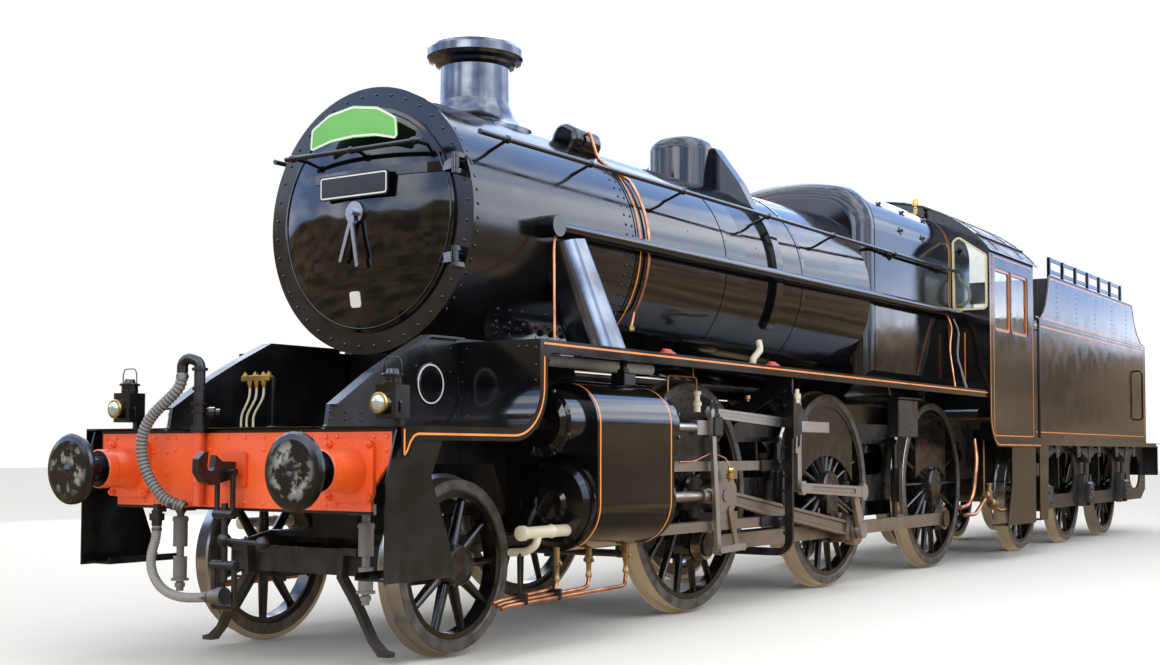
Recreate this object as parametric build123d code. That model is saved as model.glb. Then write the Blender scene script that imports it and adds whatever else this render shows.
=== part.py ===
from build123d import *
from math import atan2, cos, degrees, hypot, pi, radians, sin, sqrt, tan
import os

# A 2-6-0 mixed traffic steam engine of the nineteen thirties with its six wheeled tender, at full size.
# Millimetres, +Z up. The engine faces -Y and its left side is +X. The origin is under the middle of
# the length over buffers, at the lowest point of the wheel flanges.
# While it is built, Y is the distance behind the front buffer faces, called a station here,
# and save() moves each piece so that the middle of the length comes to Y = 0.

os.makedirs("parts", exist_ok=True)

# Overall sizes
LENGTH = 18250.0            # over the buffers of engine and tender
FRONT_OVERHANG = 1378.0     # front buffer faces to pony axle
PONY_TO_LEADING = 2743.0
LEADING_TO_DRIVING = 2438.0
DRIVING_TO_TRAILING = 2591.0
TRAILING_TO_TENDER = 3020.0
TENDER_WHEEL_SPACING = 1981.0
RUNNING_CLEARANCE = 6.0     # least gap between a piece that moves and its neighbours
SEAT = 0.3                  # gap left where a piece lies against another
SHEET = 8.0                 # thickness of platework

# Wheels and axles
BACK_TO_BACK = 1360.0
TYRE_WIDTH = 138.0
FLANGE = 28.0
PONY_TREAD = 1003.0
COUPLED_TREAD = 1676.0
TENDER_TREAD = 1295.0
CRANK_THROW = 356.0
AXLE_RADIUS = 105.0         # in the wheel seats
JOURNAL_RADIUS = 93.0       # between the wheels, where the axleboxes of the engine run
OUTER_JOURNAL = 90.0        # outside the tender's wheels

# Frames and platforms
FRAME_OUTSIDE = 638.0       # half the width over the engine frames
FRAME_PLATE = 28.0
FRAME_TOP = 1460.0
BEAM_FACE = 450.0           # station of the front face of the front beam
BEAM_HALF_WIDTH = 1156.0
BEAM_TOP = 1306.0
BEAM_BOTTOM = 857.0
PLATFORM_HALF_WIDTH = 1245.0
PLATFORM_TOP = 1319.0       # low platform over the front beam
PLATE_TOP = 1841.0          # running plate along the boiler
VALANCE = 75.0
RISER = 1605.0              # station of the face of the curved step up
RISER_RADIUS = 245.0
BUFFER_SPREAD = 870.0
BUFFER_HEIGHT = 1085.0
BUFFER_HEAD = 200.0

# Boiler
BOILER_HEIGHT = 2620.0
SMOKEBOX_FRONT = 1500.0
SMOKEBOX_REAR = 3340.0
SMOKEBOX_RADIUS = 817.0
DOOR_RADIUS = 700.0
DOOR_OPENING = 640.0
BARREL_FRONT_RADIUS = 822.0
BARREL_REAR_RADIUS = 900.0
BARREL_REAR_HEIGHT = BOILER_HEIGHT + 25
BARREL_MIDDLE = 5000.0      # station where the barrel starts to widen
FIREBOX_FRONT = 7330.0
FIREBOX_HALF_WIDTH = 862.0
FIREBOX_TOP = BOILER_HEIGHT + 1180
BACKHEAD = 10230.0
CHIMNEY = 2554.0
CHIMNEY_TOP = BOILER_HEIGHT + 1365
TOP_FEED = 5385.0

# Cab
CAB_FRONT = 9660.0
CAB_REAR = 11220.0
CAB_HALF_WIDTH = 1270.0
CAB_EAVES = 3335.0
CAB_ROOF_TOP = 3925.0
CAB_BOTTOM = 1250.0
CAB_FLOOR = 1560.0

# Cylinders and motion
CYLINDER_SPREAD = 1040.0
CYLINDER_HEIGHT = 870.0
CYLINDER_FRONT = 2080.0
CYLINDER_REAR = 2990.0
CLADDING_RADIUS = 290.0
VALVE_SPREAD = 1080.0
VALVE_HEIGHT = 1360.0
VALVE_RADIUS = 250.0
CONNECTING_ROD = 2455.0
COUPLING_PLANE = 905.0      # middle of the coupling rods, from the centre line
COUPLING_THICKNESS = 56.0
COUPLING_EYE = 80.0
MOTION_BRACKET = 4830.0

# Tender
TENDER_FRONT = 11580.0
TENDER_BEAM = 17793.0
TANK_HALF_WIDTH = 1118.0
TANK_REAR = 17469.0
TENDER_PLATFORM = 1333.0
TENDER_PLATFORM_HALF_WIDTH = 1240.0
TANK_TOP = 2700.0
TENDER_SIDE_TOP = 3361.0
TENDER_FRAME = 1010.0       # middle of the tender frame plates
DRAWBAR_PIN = 10900.0

# Places that follow from the sizes above
PONY_AXLE = FRONT_OVERHANG
LEADING_AXLE = PONY_AXLE + PONY_TO_LEADING
DRIVING_AXLE = LEADING_AXLE + LEADING_TO_DRIVING
TRAILING_AXLE = DRIVING_AXLE + DRIVING_TO_TRAILING
TENDER_AXLES = [TRAILING_AXLE + TRAILING_TO_TENDER + TENDER_WHEEL_SPACING * n for n in range(3)]
PONY_HEIGHT = FLANGE + PONY_TREAD / 2
COUPLED_HEIGHT = FLANGE + COUPLED_TREAD / 2
TENDER_HEIGHT = FLANGE + TENDER_TREAD / 2
TYRE_INSIDE = BACK_TO_BACK / 2
TYRE_OUTSIDE = TYRE_INSIDE + TYRE_WIDTH
BOSS_FACE = TYRE_OUTSIDE + 34
COUPLING_OUTSIDE = COUPLING_PLANE + COUPLING_EYE / 2
FRAME_MIDDLE = FRAME_OUTSIDE - FRAME_PLATE / 2


def save(node, *shapes):
    solids = [solid for shape in shapes for solid in shape.solids()]
    export_step(Compound(solids).moved(Location((0, -LENGTH / 2, 0))), f"parts/{node}.step")


def block(x0, x1, s0, s1, z0, z1):
    return Pos((x0 + x1) / 2, (s0 + s1) / 2, (z0 + z1) / 2) * Box(x1 - x0, s1 - s0, z1 - z0)


def bar_x(x0, x1, s, z, radius):
    return Pos((x0 + x1) / 2, s, z) * Rot(0, 90, 0) * Cylinder(radius, abs(x1 - x0))


def bar_y(s0, s1, x, z, radius):
    return Pos(x, (s0 + s1) / 2, z) * Rot(90, 0, 0) * Cylinder(radius, abs(s1 - s0))


def bar_z(z0, z1, x, s, radius):
    return Pos(x, s, (z0 + z1) / 2) * Cylinder(radius, abs(z1 - z0))


def side_plate(sketch, x0, x1):
    """A shape drawn in side view, from x0 to x1."""
    return extrude(Plane(origin=(x0, 0, 0), x_dir=(0, 1, 0), z_dir=(1, 0, 0)) * sketch, x1 - x0)


def front_plate(sketch, s0, s1):
    """A shape drawn in front view, from station s0 to station s1."""
    return extrude(Plane(origin=(0, s0, 0), x_dir=(1, 0, 0), z_dir=(0, -1, 0)) * sketch, s0 - s1)


def flat_plate(sketch, z0, z1):
    return extrude(Pos(0, 0, z0) * sketch, z1 - z0)


def outline(*points):
    return make_face(Polyline(*points, close=True))


def rounded(sketch, radius):
    return fillet(sketch.vertices(), radius)


def slot_between(x0, y0, x1, y1, radius):
    """A round ended bar between two points of a sketch."""
    length = hypot(x1 - x0, y1 - y0)
    turn = degrees(atan2(y1 - y0, x1 - x0))
    bar = Pos((x0 + x1) / 2, (y0 + y1) / 2) * Rot(0, 0, turn) * Rectangle(length, 2 * radius)
    return bar + Pos(x0, y0) * Circle(radius) + Pos(x1, y1) * Circle(radius)


def lathe_x(x, s, z, profile):
    """Turn a profile of (along, radius) points about a line that runs along X."""
    face = make_face(Polyline(*profile, close=True))
    return Pos(x, s, z) * revolve(face, Axis.X)


def lathe_y(x, s, z, profile):
    """Turn a profile of (radius, along) points about a line that runs along Y."""
    face = make_face(Polyline(*profile, close=True))
    return Pos(x, s, z) * revolve(face, Axis.Y)


def other_side(shape):
    return mirror(shape, Plane.YZ)


def both_sides(*shapes):
    return list(shapes) + [other_side(shape) for shape in shapes]


def pipe(radius, *points, bend=None):
    """A round pipe through the points, with tangent bends."""
    bend = bend or 3 * radius
    path = FilletPolyline(*points, radius=bend) if len(points) > 2 else Line(*points)
    start = Plane(origin=path @ 0, z_dir=path % 0)
    return sweep(start * Circle(radius), path)


# Wheels. Each is a cast centre of hub, spokes and rim with a steel tyre, drawn about the line of its axle.
SPOKED = {
    # name: (tread, spokes, hub radius, rim depth, spoke width at hub, at rim, spoke depth)
    "pony": (PONY_TREAD, 10, 125.0, 38.0, 62.0, 46.0, 60.0),
    "coupled": (COUPLED_TREAD, 18, 165.0, 42.0, 50.0, 36.0, 62.0),
    "tender": (TENDER_TREAD, 12, 130.0, 40.0, 54.0, 40.0, 56.0),
}
TYRE_THICKNESS = 72.0
FLANGE_WIDTH = 32.0


def tyre(tread):
    rim = tread / 2
    profile = [
        (TYRE_INSIDE, rim - TYRE_THICKNESS), (TYRE_INSIDE, rim + FLANGE - 9),
        (TYRE_INSIDE + 9, rim + FLANGE),
        (TYRE_INSIDE + 20, rim + FLANGE), (TYRE_INSIDE + FLANGE_WIDTH, rim + 4),
        (TYRE_INSIDE + FLANGE_WIDTH + 8, rim), (TYRE_OUTSIDE - 6, rim - 3),
        (TYRE_OUTSIDE, rim - 9), (TYRE_OUTSIDE, rim - TYRE_THICKNESS + 6),
        (TYRE_OUTSIDE - 6, rim - TYRE_THICKNESS),
    ]
    return lathe_x(0, 0, 0, profile)


def wheel(kind, boss=None):
    """The left wheel of an axle. boss is a crank boss to join to it, where the wheel has one."""
    tread, count, hub, rim_depth, spoke_in, spoke_out, spoke_depth = SPOKED[kind]
    outer = tread / 2 - TYRE_THICKNESS
    inner = outer - rim_depth
    middle = TYRE_INSIDE + 74
    body = tyre(tread)
    body += lathe_x(0, 0, 0, [
        (middle - 48, inner), (middle - 48, outer), (middle + 52, outer), (middle + 52, inner),
    ])
    body += lathe_x(0, 0, 0, [
        (TYRE_INSIDE - 14, 0), (TYRE_INSIDE - 14, hub - 14), (TYRE_INSIDE, hub),
        (BOSS_FACE - 16, hub - 8), (BOSS_FACE, hub - 22), (BOSS_FACE, 0),
    ])
    spokes = []
    for n in range(count):
        foot = Pos(middle, 0, hub - 22) * Ellipse(spoke_depth / 2 + 8, spoke_in / 2)
        head = Pos(middle, 0, inner + 12) * Ellipse(spoke_depth / 2 - 4, spoke_out / 2)
        spokes.append(Rot(360 / count * (n + 0.5), 0, 0) * loft([foot, head]))
    body = body.fuse(*spokes)
    if boss is not None:
        body = body.fuse(boss)
    return body - bar_x(TYRE_INSIDE - 20, BOSS_FACE + 10, 0, 0, AXLE_RADIUS + SEAT)


def crank_boss():
    web = slot_between(0, 0, 0, -CRANK_THROW, 118.0)
    return side_plate(web, TYRE_INSIDE + 40, BOSS_FACE)


def balance_weight(reach, depth):
    """A crescent of plate between the spokes, opposite the crank."""
    outer = COUPLED_TREAD / 2 - TYRE_THICKNESS - 12
    moon = Circle(outer) - Pos(0, depth - outer * 1.05) * Circle(outer * 1.05)
    moon = moon & (Pos(0, outer) * Rectangle(2 * reach, 2 * outer))
    return side_plate(moon, TYRE_INSIDE + 22, TYRE_INSIDE + 118)


def axle():
    """From hub to hub, thicker in the wheel seats than between the wheels."""
    end = BOSS_FACE - 1
    seat = TYRE_INSIDE - 6
    profile = [
        (-end, 0), (-end, AXLE_RADIUS), (-seat, AXLE_RADIUS), (-seat, JOURNAL_RADIUS),
        (seat, JOURNAL_RADIUS), (seat, AXLE_RADIUS), (end, AXLE_RADIUS), (end, 0),
    ]
    return lathe_x(0, 0, 0, profile)


RIGHT_LEAD = 90.0           # the right crank leads the left by a quarter turn


def wheelset(left, shaft):
    """Two wheels pressed on an axle, the right one turned by the lead of its crank."""
    right = Rot(RIGHT_LEAD, 0, 0) * other_side(left)
    return [left, shaft, right]


PIN_RADIUS = 62.0
PIN_CLEARANCE = 0.4
COLLAR = 14.0
COLLAR_GAP = 6.0


def crankpin(end, collar):
    """The pin in the left crank boss, out to its collar."""
    pin = bar_x(BOSS_FACE - 60, end, 0, -CRANK_THROW, PIN_RADIUS)
    return pin + bar_x(end - collar, end, 0, -CRANK_THROW, PIN_RADIUS + 26)


coupled_pin = crankpin(COUPLING_OUTSIDE + COLLAR_GAP + COLLAR, COLLAR)
coupled_plain = wheel("coupled", crank_boss())
COUPLED = [
    # node, axle, reach of the balance weight, its depth
    ("leading_coupled_wheels", LEADING_AXLE, 430.0, 185.0),
    ("driving_wheels", DRIVING_AXLE, 560.0, 290.0),
    ("trailing_coupled_wheels", TRAILING_AXLE, 430.0, 185.0),
]
for node, place, reach, depth in COUPLED:
    left = coupled_plain.fuse(balance_weight(reach, depth), coupled_pin)
    save(node, *[Pos(0, place, COUPLED_HEIGHT) * piece for piece in wheelset(left, axle())])

pony_wheel = wheel("pony")
pony_set = wheelset(pony_wheel, axle())
save("pony_wheels", *[Pos(0, PONY_AXLE, PONY_HEIGHT) * piece for piece in pony_set])

TENDER_JOURNAL = 1128.0
tender_wheel = wheel("tender")
tender_shaft = axle() + bar_x(-TENDER_JOURNAL, TENDER_JOURNAL, 0, 0, OUTER_JOURNAL)
tender_set = wheelset(tender_wheel, tender_shaft)
for n, place in enumerate(TENDER_AXLES):
    save(f"tender_wheels_{n + 1}", *[Pos(0, place, TENDER_HEIGHT) * piece for piece in tender_set])

# Coupling rods, one to a side, in one piece from end to end so that it turns as one about the driving pin.
EYE_RADIUS = 112.0
COUPLING_DEPTH = 118.0


def coupling_rod():
    """The left rod, drawn in side view about the driving crankpin."""
    eyes = [-LEADING_TO_DRIVING, 0.0, DRIVING_TO_TRAILING]
    web = Pos((eyes[0] + eyes[2]) / 2, 0) * Rectangle(eyes[2] - eyes[0], COUPLING_DEPTH)
    rod = side_plate(web, -COUPLING_THICKNESS / 2, COUPLING_THICKNESS / 2)
    for place in eyes:
        rod += bar_x(-COUPLING_EYE / 2, COUPLING_EYE / 2, place, 0, EYE_RADIUS)
        rod += block(-20, 20, place - 34, place + 34, EYE_RADIUS - 12, EYE_RADIUS + 34)
    for place in eyes:
        rod -= bar_x(-COUPLING_EYE, COUPLING_EYE, place, 0, PIN_RADIUS + PIN_CLEARANCE)
    return rod


left_rod = coupling_rod()
right_rod = other_side(left_rod)
save("left_coupling_rod", Pos(COUPLING_PLANE, DRIVING_AXLE, COUPLED_HEIGHT - CRANK_THROW) * left_rod)
save("right_coupling_rod", Pos(-COUPLING_PLANE, DRIVING_AXLE + CRANK_THROW, COUPLED_HEIGHT) * right_rod)

# Engine frames: two deep plates with horn gaps for the axleboxes, swept down at the front to carry
# the beam, and raised beside the smokebox as a gusset that shows above the low platform.
HORN_WIDTH = 270.0
HORN_TOP = 1010.0
FRAME_REAR = 10960.0
COUPLED_AXLES = [LEADING_AXLE, DRIVING_AXLE, TRAILING_AXLE]

horns = []
for place in COUPLED_AXLES:
    horns += [(place - 330, 720), (place - 200, 560), (place + 200, 560), (place + 330, 720)]
frame_face = outline(
    (BEAM_FACE + 22, 860), (760, 860), (900, 1112), (1950, 1112), (2120, 760), (3500, 720), *horns,
    (9720, 720), (9900, 860), (FRAME_REAR, 900), (FRAME_REAR, FRAME_TOP), (3060, FRAME_TOP), (3060, 1600),
    (1900, 1600), (1900, 1868), (1288, 1866), (1036, 1744), (807, 1622), (520, 1440), (BEAM_FACE + 52, 1330),
    (BEAM_FACE + 22, 1300),
)
for place in COUPLED_AXLES:
    frame_face -= Pos(place, HORN_TOP - 300) * Rectangle(HORN_WIDTH, 600)
LIGHTENING = [
    # station, height, length, depth of the round ended holes between the wheels
    (5330.0, 1120.0, 900.0, 300.0), (7850.0, 1120.0, 900.0, 300.0), (10250.0, 1180.0, 620.0, 240.0),
]
for place, height, length, depth in LIGHTENING:
    frame_face -= Pos(place, height) * RectangleRounded(length, depth, depth / 2 - 1)
frame_left = side_plate(frame_face, FRAME_OUTSIDE - FRAME_PLATE, FRAME_OUTSIDE)
lip_points = [(520, 1440), (807, 1622), (1036, 1744), (1288, 1866), (1600, 1868)]
lip_face = outline(*lip_points, *[(s + 4, z - 13) for s, z in reversed(lip_points)])
frame_lip = side_plate(lip_face, FRAME_OUTSIDE, FRAME_OUTSIDE + 52)
save("engine_frames", *both_sides(frame_left.fuse(frame_lip)))

# Stretchers that hold the two frame plates apart, clear of the axles, the firebox and the pony truck.
STRETCHERS = [
    # station of the front face, thickness, bottom, top
    (640.0, 30.0, 880.0, 1290.0), (2700.0, 60.0, 760.0, 1440.0), (4790.0, 60.0, 760.0, 1440.0),
    (5560.0, 30.0, 980.0, 1440.0), (10240.0, 40.0, 920.0, 1440.0),
]
inner = FRAME_OUTSIDE - FRAME_PLATE
stretchers = [block(-inner, inner, s, s + thick, z0, z1) for s, thick, z0, z1 in STRETCHERS]
drag_box = block(-inner, inner, FRAME_REAR - 420, FRAME_REAR, 930, 1180)
drag_box -= block(-inner + 25, inner - 25, FRAME_REAR - 395, FRAME_REAR + 1, 955, 1155)
drag_box -= block(-74, 74, FRAME_REAR - 430, FRAME_REAR + 10, 1000, 1110)

# Axleboxes in the horn gaps, bored for the axle.
boxes = []
box_half = HORN_WIDTH / 2 - SEAT
AXLEBOX_BOTTOM = COUPLED_HEIGHT - 170
for place in COUPLED_AXLES:
    axlebox = block(inner - 50, FRAME_OUTSIDE + 22, place - box_half, place + box_half, AXLEBOX_BOTTOM,
                    HORN_TOP - SEAT)
    axlebox -= bar_x(0, 700, place, COUPLED_HEIGHT, JOURNAL_RADIUS + PIN_CLEARANCE)
    boxes += both_sides(axlebox)

# Laminated springs under the coupled axleboxes, each a stack of leaves in a buckle, hung from the frames.
SPRING_X = FRAME_MIDDLE
LEAF = 16.0
LEAF_WIDTH = 100.0
LEAF_SHORTER = 0.105        # how much shorter each leaf is than the top one


def leaf_spring(s, z, span, leaves, width, x):
    """A stack of flat leaves, the longest on top at height z."""
    stack = []
    for n in range(leaves):
        length = span * (1 - LEAF_SHORTER * n)
        stack.append(block(x - width / 2, x + width / 2, s - length / 2, s + length / 2,
                           z - LEAF * (n + 1), z - LEAF * n))
    return stack[0].fuse(*stack[1:])


springs = []
for place in COUPLED_AXLES:
    top = AXLEBOX_BOTTOM - 156
    pack = leaf_spring(place, top, 1000.0, 8, LEAF_WIDTH, SPRING_X)
    pack += block(SPRING_X - 62, SPRING_X + 62, place - 45, place + 45, top - 8 * LEAF - 14, top + 26)
    pack += bar_z(top + 20, AXLEBOX_BOTTOM - SEAT, SPRING_X, place, 26)
    for end in (-1, 1):
        pack += bar_z(top - 60, 720 - SEAT, SPRING_X, place + end * 455, 18)
        pack += block(SPRING_X - 45, SPRING_X + 45, place + end * 455 - 34, place + end * 455 + 34,
                      top - 62, top - 40)
    springs += both_sides(pack)
save("axleboxes_and_springs", *boxes, *springs)

# Front beam: a deep plate with its lower corners cut away in a curve, and the buffer seats on it.
beam_face = Polyline((0, BEAM_TOP), (BEAM_HALF_WIDTH, BEAM_TOP), (BEAM_HALF_WIDTH, 1165), (1000, 985),
                     (1000, BEAM_BOTTOM), (0, BEAM_BOTTOM), close=True)
beam_face = make_face(beam_face)
beam_face = beam_face + mirror(beam_face, Plane.YZ)
corner = [v for v in beam_face.vertices() if abs(abs(v.X) - 1000) < 1 and abs(v.Y - 985) < 1]
beam_face = fillet(corner, 110)
beam = front_plate(beam_face, BEAM_FACE, BEAM_FACE + 22 - SEAT)
save("front_beam", beam)


def buffer():
    """One self contained buffer about its own axis, its head at Y = 0."""
    length = BEAM_FACE - 26
    profile = [
        (0, 0), (BUFFER_HEAD - 40, 6), (BUFFER_HEAD - 12, 14), (BUFFER_HEAD, 26), (BUFFER_HEAD, 44),
        (BUFFER_HEAD - 30, 52), (88, 74), (72, 100), (72, 205),
        (104, 205), (112, 213), (112, 262), (104, 270),
        (104, 280), (120, 400), (120, length), (0, length),
    ]
    return lathe_y(0, 0, 0, profile)


buffer_base = front_plate(rounded(Rectangle(330, 330), 60), BEAM_FACE - 26, BEAM_FACE - SEAT)
front_buffer = Pos(BUFFER_SPREAD, 0, BUFFER_HEIGHT) * (buffer() + buffer_base)
save("front_buffers", *both_sides(front_buffer))

# Low platform, the curved sheet that rises from it and the running plates along both sides of the boiler.
RISER_FLAT = RISER - RISER_RADIUS
PIPE_X = -253.0             # the vacuum standpipe that passes the platform in a notch
PIPE_S = 405.0
PLATE_INSIDE = FRAME_OUTSIDE + 4


def stepped_face(front, rear, depth, corner):
    """The low platform, the curved riser and the running plate as one bent strip of the given depth."""
    low = PLATFORM_TOP
    centre = (RISER_FLAT, low + RISER_RADIUS)
    with BuildSketch() as strip:
        with BuildLine():
            Line((front, low), (RISER_FLAT, low))
            CenterArc(centre, RISER_RADIUS, -90, 90)
            Line((RISER, low + RISER_RADIUS), (RISER, PLATE_TOP))
            Line((RISER, PLATE_TOP), (rear, PLATE_TOP))
            Line((rear, PLATE_TOP), (rear, PLATE_TOP - depth))
            Line((rear, PLATE_TOP - depth), (RISER + depth, PLATE_TOP - depth))
            Line((RISER + depth, PLATE_TOP - depth), (RISER + depth, low + RISER_RADIUS))
            CenterArc(centre, RISER_RADIUS + depth, 0, -90)
            Line((RISER_FLAT, low - depth), (front, low - depth))
            Line((front, low - depth), (front, low))
        make_face()
    face = strip.sketch
    if corner:
        inside = [v for v in face.vertices()
                  if abs(v.X - RISER - depth) < 1 and abs(v.Y - PLATE_TOP + depth) < 1]
        face = fillet(inside, corner)
    return face


sheet_face = stepped_face(BEAM_FACE - 40, CAB_FRONT - SEAT, SHEET, 0)
running_plates = both_sides(side_plate(sheet_face, PLATE_INSIDE, PLATFORM_HALF_WIDTH))
between = FRAME_OUTSIDE - FRAME_PLATE - SEAT
middle_platform = block(-between, between, BEAM_FACE - 40, 1480, PLATFORM_TOP - SHEET, PLATFORM_TOP)
middle_platform -= block(PIPE_X - 52, PIPE_X + 52, BEAM_FACE - 50, PIPE_S + 52, PLATFORM_TOP - 20,
                         PLATFORM_TOP + 10)

drop = outline((BEAM_FACE - 40, PLATFORM_TOP - SHEET - SEAT), (BEAM_FACE + 140, PLATFORM_TOP - SHEET - SEAT),
               (BEAM_FACE + 140, PLATFORM_TOP - VALANCE), (BEAM_FACE + 60, 1215), (BEAM_FACE + 10, 1150),
               (BEAM_FACE - 40, 1150))
valance_face = stepped_face(BEAM_FACE - 40, CAB_FRONT - SEAT, VALANCE, 60) + drop
valance_face -= stepped_face(BEAM_FACE - 41, CAB_FRONT + 1, SHEET + SEAT, 0)
valance = side_plate(valance_face, PLATFORM_HALF_WIDTH - SHEET, PLATFORM_HALF_WIDTH)

# Front steps hung below the low platform, each a plate with two turned out treads.
STEP_X = PLATFORM_HALF_WIDTH - 60
step_face = outline((430, 1235), (800, 1235), (800, 1190), (700, 980), (905, 470), (905, 440), (345, 440),
                    (345, 950))
step = side_plate(step_face, STEP_X, STEP_X + 10)
STEP_TREADS = [
    # front, rear, height, reach inward
    (480.0, 720.0, 945.0, 150.0), (370.0, 890.0, 448.0, 220.0),
]
for front, rear, height, reach in STEP_TREADS:
    step += block(STEP_X - reach, STEP_X, front, rear, height, height + 10)
    step += block(STEP_X - reach, STEP_X - reach + 8, front, rear, height, height + 40)
step += block(STEP_X - 50, STEP_X, 480, 800, 1225, 1235)
step = step.moved(Location((0, 0, PLATFORM_TOP - SHEET - SEAT - 1235)))
front_steps = both_sides(step)

# Smokebox: a drum of rolled plate with a heavy front ring, closed at the back by the barrel's tube plate.
SMOKEBOX_WALL = 14.0
ring = front_plate(Circle(SMOKEBOX_RADIUS + 16) - Circle(DOOR_OPENING), SMOKEBOX_FRONT, SMOKEBOX_FRONT + 26)
drum = front_plate(Circle(SMOKEBOX_RADIUS) - Circle(SMOKEBOX_RADIUS - SMOKEBOX_WALL), SMOKEBOX_FRONT + 26,
                   SMOKEBOX_REAR - 20)
tube_plate = front_plate(Circle(SMOKEBOX_RADIUS), SMOKEBOX_REAR - 20, SMOKEBOX_REAR)
smokebox = Pos(0, 0, BOILER_HEIGHT) * (ring + drum + tube_plate)
CHIMNEY_BORE = 190.0
smokebox -= bar_z(BOILER_HEIGHT + 300, BOILER_HEIGHT + 1000, 0, CHIMNEY, CHIMNEY_BORE)
HINGE_X = 742.0
HINGE_Y = SMOKEBOX_FRONT - 62
HINGES = [BOILER_HEIGHT + 273, BOILER_HEIGHT - 282]
for height in HINGES:
    for step_z in (-62, 34):
        lug = flat_plate(Pos(HINGE_X, HINGE_Y) * Circle(24) + Pos(HINGE_X, HINGE_Y + 32) * Rectangle(48, 64),
                         height + step_z, height + step_z + 28)
        smokebox += lug - bar_z(0, 4000, HINGE_X, HINGE_Y, 12.4)
save("smokebox", smokebox)

# Smokebox door: a dished plate with a flat rim, two strap hinges, a centre dart with its handles,
# a handrail, and bare plates where the real engine carries its numbers and headboard.
DISH = 92.0
DOOR_GAP = 1.0
door_back = SMOKEBOX_FRONT - DOOR_GAP


def dish_line(radius):
    """How far the outside of the door stands forward of its rim at this radius."""
    sphere = (DOOR_RADIUS ** 2 + DISH ** 2) / (2 * DISH)
    return sqrt(sphere ** 2 - radius ** 2) - (sphere - DISH)


DOOR_PLATE = 14.0
DOOR_RIM = 45.0
half_way = DOOR_RADIUS / 2
rim_inside = DOOR_RADIUS - DOOR_RIM
with BuildSketch() as door_section:
    with BuildLine():
        Line((0, -DOOR_PLATE - DISH), (0, -4 - DISH))
        ThreePointArc((0, -4 - DISH), (half_way, -4 - dish_line(half_way)), (rim_inside, -4))
        Line((rim_inside, -4), (rim_inside, 0))
        Line((rim_inside, 0), (DOOR_RADIUS, 0))
        Line((DOOR_RADIUS, 0), (DOOR_RADIUS, -DOOR_PLATE))
        ThreePointArc((DOOR_RADIUS, -DOOR_PLATE), (half_way, -DOOR_PLATE - dish_line(half_way)),
                      (0, -DOOR_PLATE - DISH))
    make_face()
door_plate = Pos(0, door_back, BOILER_HEIGHT) * revolve(door_section.sketch, Axis.Y)
door = door_plate
strap_face = door_back - DOOR_PLATE


def strap(height):
    """A strap hinge that follows the dish of the door from its pin to beyond the middle."""
    across = [-380 + 100 * n for n in range(11)]
    rise = height - BOILER_HEIGHT
    front = [(x, strap_face - dish_line(min(hypot(x, rise), DOOR_RADIUS)) - 12) for x in across]
    back = [(x, y + 16) for x, y in reversed(front)]
    leaf = make_face(Polyline(*front, (HINGE_X, HINGE_Y - 12), (HINGE_X, HINGE_Y + 12), *back, close=True))
    body = flat_plate(leaf, height - 30, height + 30)
    eye = bar_z(height - 32, height + 32, HINGE_X, HINGE_Y, 24)
    return body + eye + bar_z(height - 64, height + 64, HINGE_X, HINGE_Y, 12)


for height in HINGES:
    door += strap(height)
save("smokebox_door", door)

DART_Y = strap_face - DISH
DART_Z = BOILER_HEIGHT + 32
dart = bar_y(DART_Y - 62, DART_Y - SEAT, 0, DART_Z, 26)
dart += bar_y(DART_Y - 22, DART_Y - SEAT, 0, DART_Z, 70)
dart += Pos(0, DART_Y - 40, DART_Z) * front_plate(slot_between(0, 0, -95, -290, 13), 0, 16)
dart += Pos(0, DART_Y - 60, DART_Z) * front_plate(slot_between(0, 0, 60, -330, 13), 0, 16)

DOOR_RAIL_Y = 1345.0
DOOR_RAIL_Z = BOILER_HEIGHT + 415
RAIL_KNOBS = [-500.0, 0.0, 500.0]
rail_profile = [(-560, 0), (-560, 16)]
for x in RAIL_KNOBS:
    rail_profile += [(x - 20, 16), (x - 12, 24), (x + 12, 24), (x + 20, 16)]
rail_profile += [(560, 16), (560, 0)]
door_rail = lathe_x(0, DOOR_RAIL_Y, DOOR_RAIL_Z, rail_profile)
for x in RAIL_KNOBS:
    foot = strap_face - dish_line(hypot(x, DOOR_RAIL_Z - BOILER_HEIGHT)) + 5
    door_rail += bar_y(DOOR_RAIL_Y, foot, x, DOOR_RAIL_Z, 11)
door_cutter = Pos(0, -SEAT, 0) * door_plate
door_rail -= door_cutter
save("door_fittings", dart, door_rail)

headboard_face = outline((-360, 20), (-350, 150), (-200, 232), (0, 262), (200, 232), (350, 150), (360, 20),
                         (180, 52), (0, 62), (-180, 52))
BOARD_Y = 1355.0
BOARD_Z = BOILER_HEIGHT + 430
headboard = Pos(0, 0, BOARD_Z) * front_plate(rounded(headboard_face, 20), BOARD_Y, BOARD_Y + SHEET)
lamp_iron = BOARD_Z + 140
board_back = strap_face - dish_line(lamp_iron - BOILER_HEIGHT)
headboard += block(-22, 22, BOARD_Y + SHEET - 1, board_back + 5, lamp_iron - 20, lamp_iron + 20)
headboard -= door_cutter

NUMBER_Z = BOILER_HEIGHT + 198
number_back = DART_Y - 18
number_face = RectangleRounded(560, 150, 18)
number_plate = Pos(0, 0, NUMBER_Z) * front_plate(number_face, number_back - 14, number_back)
for x in (-200, 200):
    foot = strap_face - dish_line(hypot(x, NUMBER_Z - BOILER_HEIGHT))
    number_plate += bar_y(number_back - 1, foot + 4, x, NUMBER_Z, 14)
number_plate -= door_cutter
save("door_plates", headboard, number_plate)

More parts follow.
